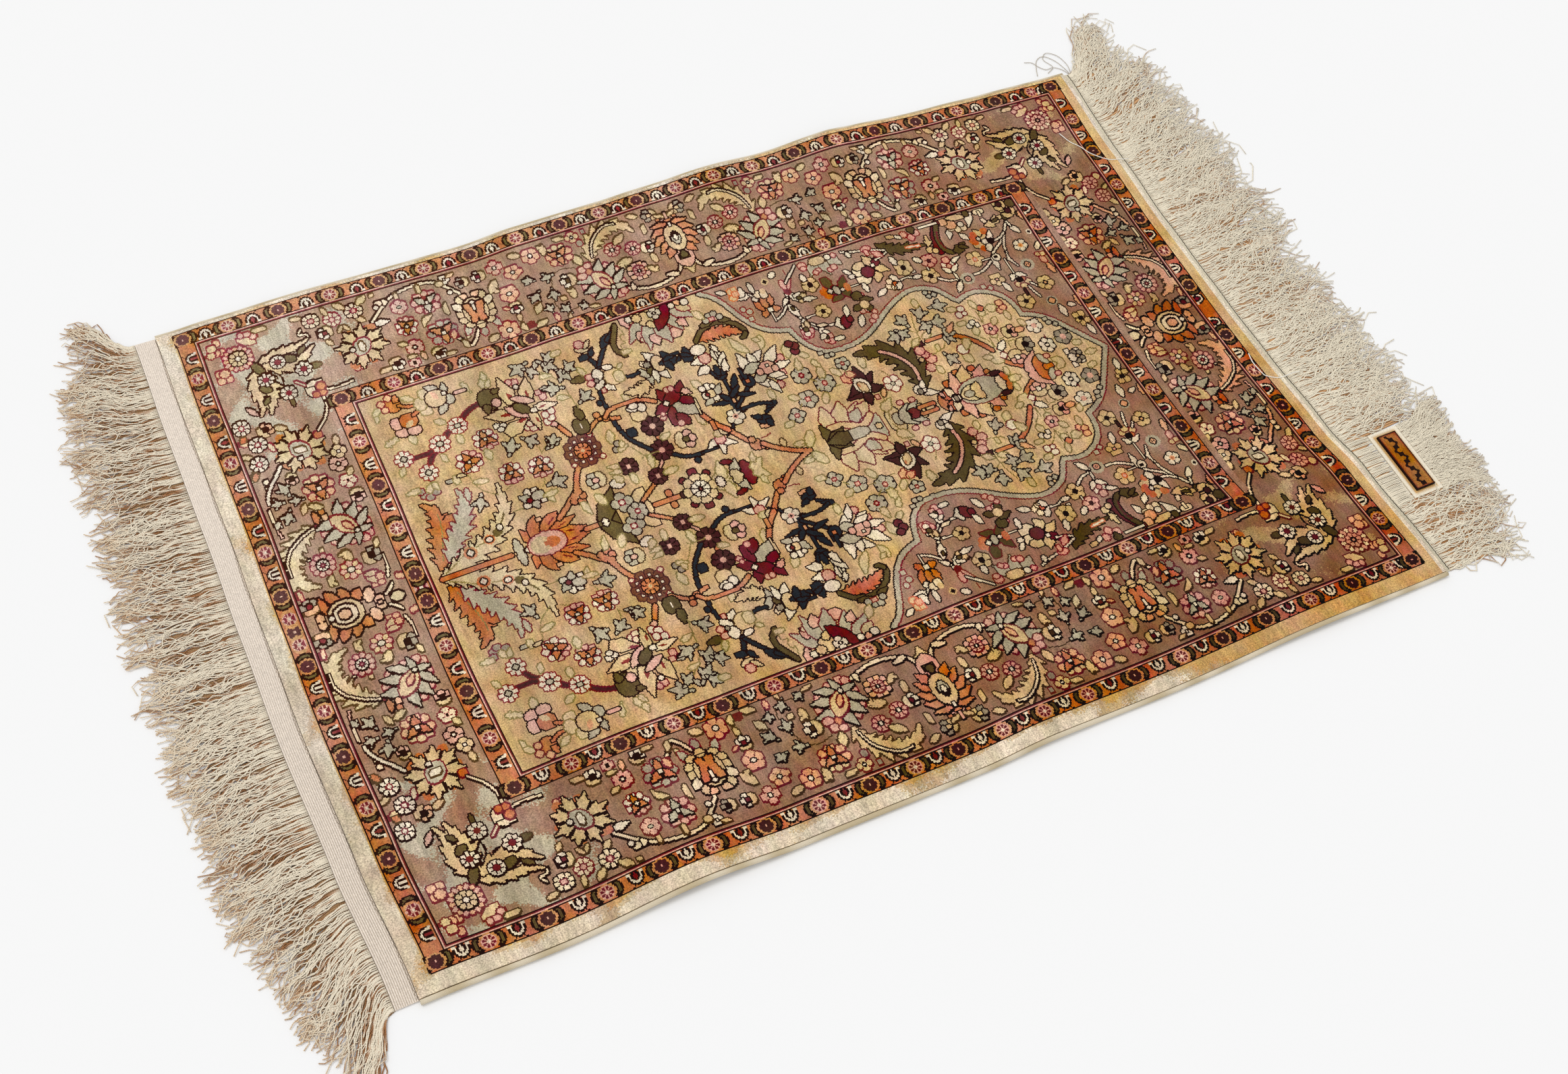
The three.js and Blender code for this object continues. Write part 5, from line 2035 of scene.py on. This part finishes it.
def spun_yarn(name, pitch, depth):
    """Two-ply spun silk: the two plies wind round each thread once every pitch millimetres, with painted
    shade where they part and painted highlight on their crests; depth is how far the painted shade darkens
    the yarn.
    """
    material, tree, shader, _ = finish_of(name, Roughness=0.7, Specular_IOR_Level=0.1)
    yarn = node(tree, "ShaderNodeVertexColor", layer_name="yarn").outputs["Color"]
    where = node(tree, "ShaderNodeUVMap", uv_map="Yarn").outputs[0]
    parts = node(tree, "ShaderNodeSeparateXYZ", {0: where})
    turns = node(tree, "ShaderNodeMath", {0: parts.outputs[1], 1: 1 / pitch}, operation="MULTIPLY")
    angle = node(tree, "ShaderNodeMath", {0: turns.outputs[0], 1: parts.outputs[0]}, operation="ADD")
    phase = node(tree, "ShaderNodeMath", {0: angle.outputs[0], 1: 4 * np.pi}, operation="MULTIPLY")
    ply = node(tree, "ShaderNodeMath", {0: phase.outputs[0]}, operation="SINE").outputs[0]
    # Painted shade and highlight: darker where the plies part, lighter on their crests
    tone = shade(tree, yarn, spread(tree, ply, 1 - depth, 1 + depth / 2, -1, 1))
    tree.links.new(tone, shader.inputs["Base Color"])
    rough = node(tree, "ShaderNodeBump", {"Strength": 0.5, "Distance": 0.0003, "Height": ply})
    tree.links.new(rough.outputs[0], shader.inputs["Normal"])
    return material


# ----- The rug ------------------------------------------------------------------------------------

pile_silk = silk_pile()
near_half = knot_pile("pile_near_half", False, pile_silk)
far_half = knot_pile("pile_far_half", True, pile_silk)
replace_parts(near_half, "rug_body")
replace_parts(far_half, "rug_body")


def laid(u, v, height):
    """Points on the rug at chart places, that far above its underside."""
    flat = plan(u, v)
    return np.concatenate([flat, (lift(flat[..., 0], flat[..., 1]) + height)[..., None]], -1)


# The foundation ends this far inside the pile's edge, and under the pile's foot
INSET = 0.2
TUCK = 0.05
back_cloth = flat_weave("woven silk back", "#B9A07C")
u, v = np.meshgrid(np.linspace(PILE_LEFT + INSET, PILE_RIGHT - INSET, 111),
                   np.linspace(INSET - PILE_SIDE, FAR_SIDE - INSET, 79))
points, faces, smooth, cover = slab(laid(u, v, FOUNDATION - TUCK), laid(u, v, 0))
foundation = piece("woven_foundation", points, faces, back_cloth, None,
                   flat_map(points, faces, cover), smooth)
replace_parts(foundation, "rug_body")


def end_weave(name, ends, ribs, colour, node_name):
    """A flat-woven end: its height is 1.2 mm and, over its ribbed part, a half-sine rib each pitch.

    Ribs are their count and height; colour is the crests' and the grooves', a painted shade in the grooves
    that pales to the crests' towards the far side.
    """
    count, height = ribs
    share = np.linspace(0, 1, 4 * count + 1)
    outer = ends[0] if abs(ends[0]) > abs(ends[1]) else ends[1]
    inner = ends[0] + ends[1] - outer
    u, v = np.meshgrid(outer + (inner - outer) * share, np.linspace(-PILE_SIDE, FAR_SIDE, 311))
    rib = height * np.abs(np.sin(np.pi * share * count)) + 0 * v
    crimp = 0.08 * np.sin(v * 2.3 + 2 * np.sin(u * 3))
    points, faces, smooth, cover = slab(laid(u, v, WEAVE_THICKNESS + rib + crimp), laid(u, v, 0.1))
    # Painted shade: darker down between the ribs, less of it towards the far side
    groove_shade = ((1 - rib / height) * np.clip(0.75 - v / 420, 0.4, 1.3))[..., None]
    tint = linear(colour[0]) * (1 - groove_shade) + linear(colour[1]) * groove_shade
    tint = np.concatenate([tint.reshape(-1, 3), np.broadcast_to(linear(colour[0]),
                                                                (len(points) - rib.size, 3))])
    made = piece(name, points, faces, flat_weave(name.replace("_", " "), None), tint,
                 flat_map(points, faces, cover), smooth)
    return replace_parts(made, node_name)


left_weave = end_weave("ribbed_end_left", LEFT_WEAVE, (11, 0.5),
                      ("#ECDFD1", "#C6B7A5"), "end_weave_left")
right_weave = end_weave("ribbed_end_right", RIGHT_WEAVE, (4, 0.35),
                       ("#DDD3BC", "#B3AA90"), "end_weave_right")


def threads(name, paths, radii, material, tint, sides=4, flat=1.0):
    """Threads as one piece; tint (strand, station, 3) colours each ring."""
    points, faces, maps = tubes(paths, radii, sides, flat)
    colours = np.repeat(tint.reshape(-1, 3), sides, 0)
    return piece(name, points, faces, material, colours, maps)


def plain(colour, paths):
    """One colour for every ring of those paths."""
    return np.broadcast_to(linear(colour), (*paths.shape[:2], 3))


# Wrapped yarn over the long edges: the wrapping's turns are 1.6 mm apart
binding = spun_yarn("silk edge binding", 1.6, 0.12)
for name, outward, edge, radius in ("selvedge_near", -1, -PILE_SIDE, 2), ("selvedge_far", 1, FAR_SIDE, 1.5):
    u = np.linspace(PILE_LEFT, PILE_RIGHT, 221)
    cord = laid(u, edge + 0 * u, radius)
    cord[:, 1] += outward * (radius + 0.05)
    tone = 0.5 + 0.5 * np.sin(u / 9 + 3 * np.sin(u / 31))[:, None]
    tint = linear("#E6D8BE") * (1 - tone) + linear("#CDBB98") * tone
    made = threads(name.replace("_", "_yarn_"), cord[None], radius, binding, tint[None], 8)
    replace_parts(made, name)

# A dark thread woven across each end, waving half a millimetre: its place, height and colour
DARK_LINES = ((-443.6, 0.35, "#A39482"), (446.3, 0.45, "#3A2F28"))
dark_yarn = spun_yarn("dark silk thread", 1.2, 0.15)
v = np.linspace(1 - PILE_SIDE, FAR_SIDE - 1, 330)
waves = 0.35 * np.sin(v * 1.9) + 0.3 * np.sin(v / 11)
lines = np.stack([laid(place + waves, v, WEAVE_THICKNESS + above) for place, above, _ in DARK_LINES])
tint = np.stack([np.tile(linear(code), (len(v), 1)) for _, _, code in DARK_LINES])
dark_lines = threads("dark_end_threads", lines, 0.3, dark_yarn, tint)


# ----- Fringes ------------------------------------------------------------------------------------

LEFT_ROOT, RIGHT_ROOT = LEFT_WEAVE[0] - GAP, RIGHT_WEAVE[1] + GAP
# Strands of a fringe, the stations along each, and the width that spacings and locks divide
STRANDS = 1380
STATIONS = 18
COMB_WIDTH = 620


def fringe_paths(rng, edge, outward, table, spacing, lock, curl, wild, loft):
    """Strands of one end's fringe, and each strand's share of the way along the end.

    Spacing and lock are the widths of a comb place and of a lock, curl scales every wave, wild is
    the share of strands that curl more widely, and loft scales the strands' heights.

    A strand leaves its comb place straight for 4 mm, then drifts sideways with its lock: the locks'
    drifts and lengths are read between their middles, so the fringe stays one band and parts only
    towards the tips.  Curls are sines that grow from root to tip, those of a lock nearly in step;
    each lock lies at its own height.
    """
    count = STRANDS
    places = int(COMB_WIDTH / spacing)
    comb = np.where(rng.random(count) < 0.94, rng.random(count), rng.beta(0.1, 0.1, count) * 0.998)
    share = np.sort((np.floor(comb * places) + 0.5 + rng.uniform(-0.4, 0.4, count)) / places)
    v = -PILE_SIDE + PILE_WIDTH * share
    root = plan(np.full(count, edge), v)
    at, reach, sweep = np.array(table, float).T
    locks = int(COMB_WIDTH / lock)
    middles = (np.arange(locks) + rng.uniform(0.2, 0.8, locks)) / locks
    mixed = share + rng.normal(0, 0.5 / locks, count)
    own = np.clip(np.searchsorted((middles[1:] + middles[:-1]) / 2, mixed), 0, locks - 1)
    lengths, drifts = rng.uniform(0.9, 1.08, locks), rng.normal(0, 5, locks)
    length = np.interp(v, at, reach) * (0.5 * np.interp(share, middles, lengths) + 0.5 * lengths[own])
    length *= rng.uniform(0.82, 1.12, count)
    drift_to = np.interp(v, at, sweep) + np.interp(share, middles, drifts) + rng.normal(0, 2.5, count)
    gather = (middles[own] - share) * PILE_WIDTH * rng.uniform(0.2, 0.8, locks)[own]
    t = np.linspace(0, 1, STATIONS)
    straight = (4 / length)[:, None]
    run = np.clip((t - straight) / (1 - straight), 0, 1)
    drawn = run * run * (3 - 2 * run) * 0.6 + run * 0.4
    bold = np.where(rng.random(count) < wild, 2.6, 1.0)[:, None]
    waves = np.zeros((count, STATIONS))
    slack = np.zeros((count, STATIONS))
    for turns, size, apart in (0.8, 3.2, 0.08), (2.3, 2.2, 0.12), (4.6, 1.0, 0.3):
        phase = rng.uniform(0, 1, (locks, 1))[own] + rng.normal(0, apart, (count, 1)) * bold
        pace = turns * rng.uniform(0.85, 1.15, (count, 1))
        waves += size * curl * bold * np.sin(2 * np.pi * (pace * run + phase))
        slack += size * curl * bold * 0.6 * np.cos(2 * np.pi * (pace * run * 1.2 + phase * 1.7))
    crimp = curl * 0.62 * rng.normal(0, 1, (3, count, STATIONS)) * np.minimum(1, run * 8)
    waves += crimp[0]
    slack += crimp[1]
    x = root[:, :1] + outward * (length[:, None] * t + (slack - slack[:, :1]) * run)
    y = root[:, 1:] + drift_to[:, None] * drawn + gather[:, None] * run ** 3 + waves * run ** 0.6
    layer = 0.3 * rng.uniform(0, 1, (locks, 1))[own] + 0.7 * rng.uniform(0, 1, (count, 1))
    weave = 0.15 * np.sin(2 * np.pi * (run * rng.uniform(3, 7, (count, 1)) + rng.uniform(0, 1, (count, 1))))
    layer = np.clip(layer + weave * np.minimum(1, run * 4), 0, 1)
    z = 0.5 + loft * layer * (0.5 + 1.1 * np.sin(np.pi * np.clip(run * 0.85 + 0.1, 0, 1)))
    z = np.maximum(z + 0.4 * loft * crimp[2], 0.5)
    return np.stack([x, y, z], -1), share, layer


def strand_tint(rng, paths, layer, light, shadow, tip):
    """Colours of strands: the upper half light, the lower ones in painted shade, all running to the tip's
    tone.
    """
    t = np.linspace(0, 1, paths.shape[1])[None, :, None]
    # Painted shade: the lower a strand lies, the more it takes the shadow colour
    depth = np.clip((0.55 - layer) / 0.2, 0, 1)[..., None] * np.minimum(1, 0.25 + 8 * t)
    own = rng.uniform(0.92, 1.0, (len(paths), 1, 1))
    body = (linear(light) * (1 - depth) + linear(shadow) * depth) * own
    end = np.clip((t - 0.72) / 0.28, 0, 1) ** 1.5 * rng.uniform(0.2, 1, (len(paths), 1, 1))
    return body * (1 - end) + linear(tip) * end


def under_threads(name, rng, edge, outward, table, tint, shortened=(1, 1), shorter=0):
    """Dark flat strands under a fringe, 2 mm apart, 0.72 of its reach: painted shade, a dark layer that
    shows between the strands as their shadows.
    """
    share = np.linspace(0.002, 0.998, 310)
    cut = (share > shortened[0]) & (share < shortened[1])
    v = -PILE_SIDE + PILE_WIDTH * share
    root = plan(np.full(len(v), edge), v)
    at, reach, sweep = np.array(table, float).T
    t = np.linspace(0, 1, 6)
    length = 0.72 * np.interp(v, at, reach) * rng.uniform(0.85, 1.1, len(v))
    length = np.where(cut, shorter - root[:, 0], length)
    x = root[:, :1] + outward * length[:, None] * t
    y = root[:, 1:] + (0.6 * np.interp(v, at, sweep) + rng.normal(0, 2, len(v)))[:, None] * t ** 1.5
    paths = np.stack([x, y, 0.3 + 0 * x], -1)
    radii = 1.5 * (1 - 0.6 * t ** 3)
    return threads(name, paths, radii, fringe_silk, plain(tint, paths), 4, 0.15)


# Each fringe's tones: its upper strands, the lower ones in their shade, and the tips
LEFT_TONES = ("#FFF2DA", "#B07C52", "#F0D2AC")
RIGHT_TONES = ("#FFF3DA", "#B98352", "#FFF4E0")
fringe_silk = spun_yarn("knotted silk fringe", 3.2, 0.12)
rng = np.random.default_rng(7)
# Painted shade: dark flat threads under each fringe stand for the shadows between its strands
left_shade_threads = under_threads("fringe_shade_left", rng, LEFT_ROOT, -1, LEFT_FRINGE, "#B08A62")
panel_low, panel_high = (np.array(corner) * 1000 - (*SHIFT, 0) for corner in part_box("panel_weave"))
right_shade_threads = under_threads("fringe_shade_right", rng, RIGHT_ROOT, 1, RIGHT_FRINGE, "#D8A878",
                            np.array(PANEL_TEETH) / TEETH, panel_low[0] - 1.5)
t = np.linspace(0, 1, STATIONS)
strands, _, layer = fringe_paths(rng, LEFT_ROOT, -1, LEFT_FRINGE, spacing=1.6, lock=13, curl=1.0,
                                 wild=0.15, loft=1.0)
radii = 0.52 * (1 - 0.2 * t)
left_fringe = threads("silk_fringe_left", strands, radii, fringe_silk,
                      strand_tint(rng, strands, layer, *LEFT_TONES), 4, 0.5)
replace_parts(left_fringe, "fringe_left")

strands, share, layer = fringe_paths(rng, RIGHT_ROOT, 1, RIGHT_FRINGE, spacing=1.25, lock=12, curl=1.5,
                                     wild=0.35, loft=0.5)
# The strands between the panel's first and last tooth end at the panel, evenly along its edge
first_tooth, last_tooth = PANEL_TEETH
held = (share > first_tooth / TEETH) & (share < last_tooth / TEETH)
root = strands[held, 0]
goal = panel_low[1] + ((panel_high[1] - panel_low[1]) * (share[held] * TEETH - first_tooth)
                       / (last_tooth - first_tooth))
strands[held, :, 0] = root[:, :1] + (panel_low[0] - GAP - root[:, :1]) * t
strands[held, :, 1] = (root[:, 1:2] + (goal - root[:, 1])[:, None] * t
                       + rng.normal(0, 0.5, (len(root), 1)) * np.sin(np.pi * t))
strands[held, :, 2] = 0.5 + rng.uniform(0, 0.9, (len(root), 1)) * np.sin(np.pi * t)
layer[held] = np.maximum(layer[held], 0.5)
radii = 0.58 * (1 - 0.25 * t)
right_fringe = threads("silk_fringe_right", strands, radii, fringe_silk,
                       strand_tint(rng, strands, layer + 0.16, *RIGHT_TONES), 4, 0.25)
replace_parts(right_fringe, "fringe_right")


# ----- The small panel held in the right fringe ---------------------------------------------------

def flat_slab(low, high, height, rows, columns):
    """Slab over a plain rectangle (low to high in x, y), its cover at that height, foot at low z."""
    x, y = np.meshgrid(np.linspace(low[0], high[0], columns), np.linspace(low[1], high[1], rows))
    return slab(np.stack([x, y, height + 0 * x], -1), np.stack([x, y, low[2] + 0 * x], -1))


pile_low, pile_high = (np.array(corner) * 1000 - (*SHIFT, 0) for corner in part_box("panel_pile"))
points, faces, smooth, cover = flat_slab(panel_low, panel_high, 1.2, 48, 24)
# The cloth is golden for about 2 mm round the block of pile
beyond = (np.abs(points[:, :2] - (pile_low + pile_high)[:2] / 2) - (pile_high - pile_low)[:2] / 2).max(1)
golden = np.clip(3 - beyond, 0, 1)[:, None]
tint = linear("#EDE2CC") * (1 - golden) + linear("#CFA468") * golden
panel_weave = piece("panel_woven_ground", points, faces,
                    flat_weave("woven silk panel", None), tint, flat_map(points, faces, cover), smooth)
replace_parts(panel_weave, "panel_weave")

wide, long = (int(round(value)) for value in (pile_high - pile_low)[:2])
points, faces, smooth, cover = flat_slab((*pile_low[:2], 1.3), pile_high, 3.5, long + 1, wide + 1)
across, along = np.meshgrid(np.arange(wide) + 0.5, np.arange(long) + 0.5)
edge = np.minimum(np.minimum(across, wide - across), np.minimum(along, long - along))
# A plain zigzag with dots in its bays: it stands for the block's worked pattern
BAY = 8
wander = wide / 2 + 3.4 * (2 * np.abs((along / BAY) % 2 - 1) - 1)
dots = np.hypot(across + wander - wide, along % BAY - BAY / 2) < 1.8
tones = np.full((*across.shape, 3), linear("#AE6A30"))
tones[dots | (np.abs(across - wander) < 1.7) | (edge < 1.2)] = linear("#24100B")
tones[(edge > 1.2) & (edge < 2.2)] = linear("#8E4524")
colours = np.concatenate([tones.reshape(-1, 3),
                          np.broadcast_to(linear("#24100B"), (len(faces) - across.size, 3))])
panel_pile = piece("panel_knots", points, faces, pile_silk, colours,
                   flat_map(points, faces, cover), smooth)
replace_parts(panel_pile, "panel_pile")

# The threads past the panel hang in bundles side by side, which fan out as they go
BUNDLES = 5
BUNDLE_WIDTH = 14
TAIL_REACH = 47
count = 420
y = np.sort(rng.uniform(panel_low[1] + 0.5, panel_high[1] - 0.5, count))
bundle = (y - panel_low[1] + rng.normal(0, 5, count)) // BUNDLE_WIDTH
bundle = np.clip(bundle, 0, BUNDLES - 1).astype(int)
t = np.linspace(0, 1, 16)
reach = TAIL_REACH * rng.uniform(0.9, 1.08, BUNDLES)[bundle] * rng.uniform(0.8, 1.12, count)
own = rng.uniform(0, 1, (BUNDLES, 1))[bundle] + rng.normal(0, 0.08, (count, 1))
x = panel_high[0] + 0.2 + reach[:, None] * t
middle = panel_low[1] + BUNDLE_WIDTH / 2 + BUNDLE_WIDTH * bundle
y = (y[:, None] + ((middle - y) * 0.2 + (y - panel_low[1] - 2 * BUNDLE_WIDTH) * 0.35)[:, None] * t ** 1.5
     + 3.5 * t * np.sin(2 * np.pi * (1.1 * t + own)) + 1.6 * t * np.sin(2 * np.pi * (3.1 * t + own * 3))
     + rng.normal(0, 0.6, (count, len(t))) * np.minimum(1, 6 * t))
layer = np.clip(rng.uniform(0, 1, (count, 1)) + 0.25 * np.sin(2 * np.pi * (4 * t + 5 * own)), 0, 1)
z = 0.5 + layer * (0.4 + 0.8 * np.sin(np.pi * t))
strands = np.stack([x, y, z], -1)
tail = threads("silk_fringe_panel", strands, 0.42, fringe_silk,
               strand_tint(rng, strands, layer + 0.16, *RIGHT_TONES), 4, 0.25)
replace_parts(tail, "fringe_panel")

# Two loose white threads that lie on the pile at the right end
LOOSE = [[(394, 235), (398, 222), (404, 213), (409, 202), (420, 190), (430, 186), (440, 183)],
         [(415, -58), (413, -68), (414, -80), (416, -85), (426, -91), (440, -91), (447, -92)]]
flat = np.stack([curved(run, 6) for run in LOOSE])
strands = np.concatenate([flat, (lift(*np.moveaxis(flat, 2, 0)) + BODY_THICKNESS + 0.35)[..., None]], -1)
loose = threads("loose_threads", strands, 0.55, fringe_silk, plain("#FBF6EA", strands))

# Three stray ends that curl out on the floor from the far corner of the right fringe
STRAY = [[(448.5, 301), (447, 312), (443, 325), (435, 334), (426, 331), (420, 321), (416, 312)],
         [(449, 300), (444, 311), (437, 317), (429, 317), (424, 322), (420, 330), (413, 333)],
         [(449, 302), (452, 316), (449, 330), (440, 337), (433, 330), (437, 318), (428, 312)]]
flat = np.stack([curved(run, 6) for run in STRAY])
strands = np.concatenate([flat, np.full((*flat.shape[:2], 1), 0.5)], -1)
stray = threads("stray_threads", strands, 0.35, fringe_silk, plain("#CFC5B6", strands))


# ----- Floor, lights and camera -------------------------------------------------------------------

floor_mesh = bpy.data.meshes.new("floor")
floor_mesh.from_pydata([(-6, -6, -0.0004), (6, -6, -0.0004), (6, 6, -0.0004), (-6, 6, -0.0004)], [],
                       [(0, 1, 2, 3)])
floor = bpy.data.objects.new("floor", floor_mesh)
bpy.context.scene.collection.objects.link(floor)
paper, _, _, _ = finish_of("white paper ground", Base_Color=(*linear("#F4F4F4"), 1), Roughness=0.9,
                           Specular_IOR_Level=0.0)
floor_mesh.materials.append(paper)

world = bpy.data.worlds.new("soft daylight")
bpy.context.scene.world = world
world.use_nodes = True
world.node_tree.nodes["Background"].inputs["Color"].default_value = (1, 1, 1, 1)
world.node_tree.nodes["Background"].inputs["Strength"].default_value = 0.8

sun = bpy.data.lights.new("window light", "SUN")
sun.energy = 0.27 * np.pi
sun.angle = np.radians(28)
lamp = bpy.data.objects.new("window light", sun)
lamp.rotation_euler = Vector((0.45, -0.35, -1.0)).to_track_quat("-Z", "Y").to_euler()
bpy.context.scene.collection.objects.link(lamp)

# The view: its right, up and forward directions, and its place in rug millimetres
right, up, ahead = (Vector(v) for v in ((0.8919, -0.4408, 0.1013), (0.3208, 0.7744, 0.5453),
                                        (0.3188, 0.4538, -0.8321)))
camera_data = bpy.data.cameras.new("camera")
camera_data.sensor_width, camera_data.lens = 36, 43.46
camera_data.clip_start, camera_data.clip_end = 0.05, 30
camera = bpy.data.objects.new("camera", camera_data)
turn = Matrix((right, up, -ahead)).transposed()
place = Vector((-530.9 + SHIFT[0], -757.7 + SHIFT[1], 1258.1)) / 1000
camera.matrix_world = Matrix.Translation(place) @ turn.to_4x4()
bpy.context.scene.collection.objects.link(camera)
bpy.context.scene.camera = camera
bpy.context.scene.view_settings.view_transform = "Standard"
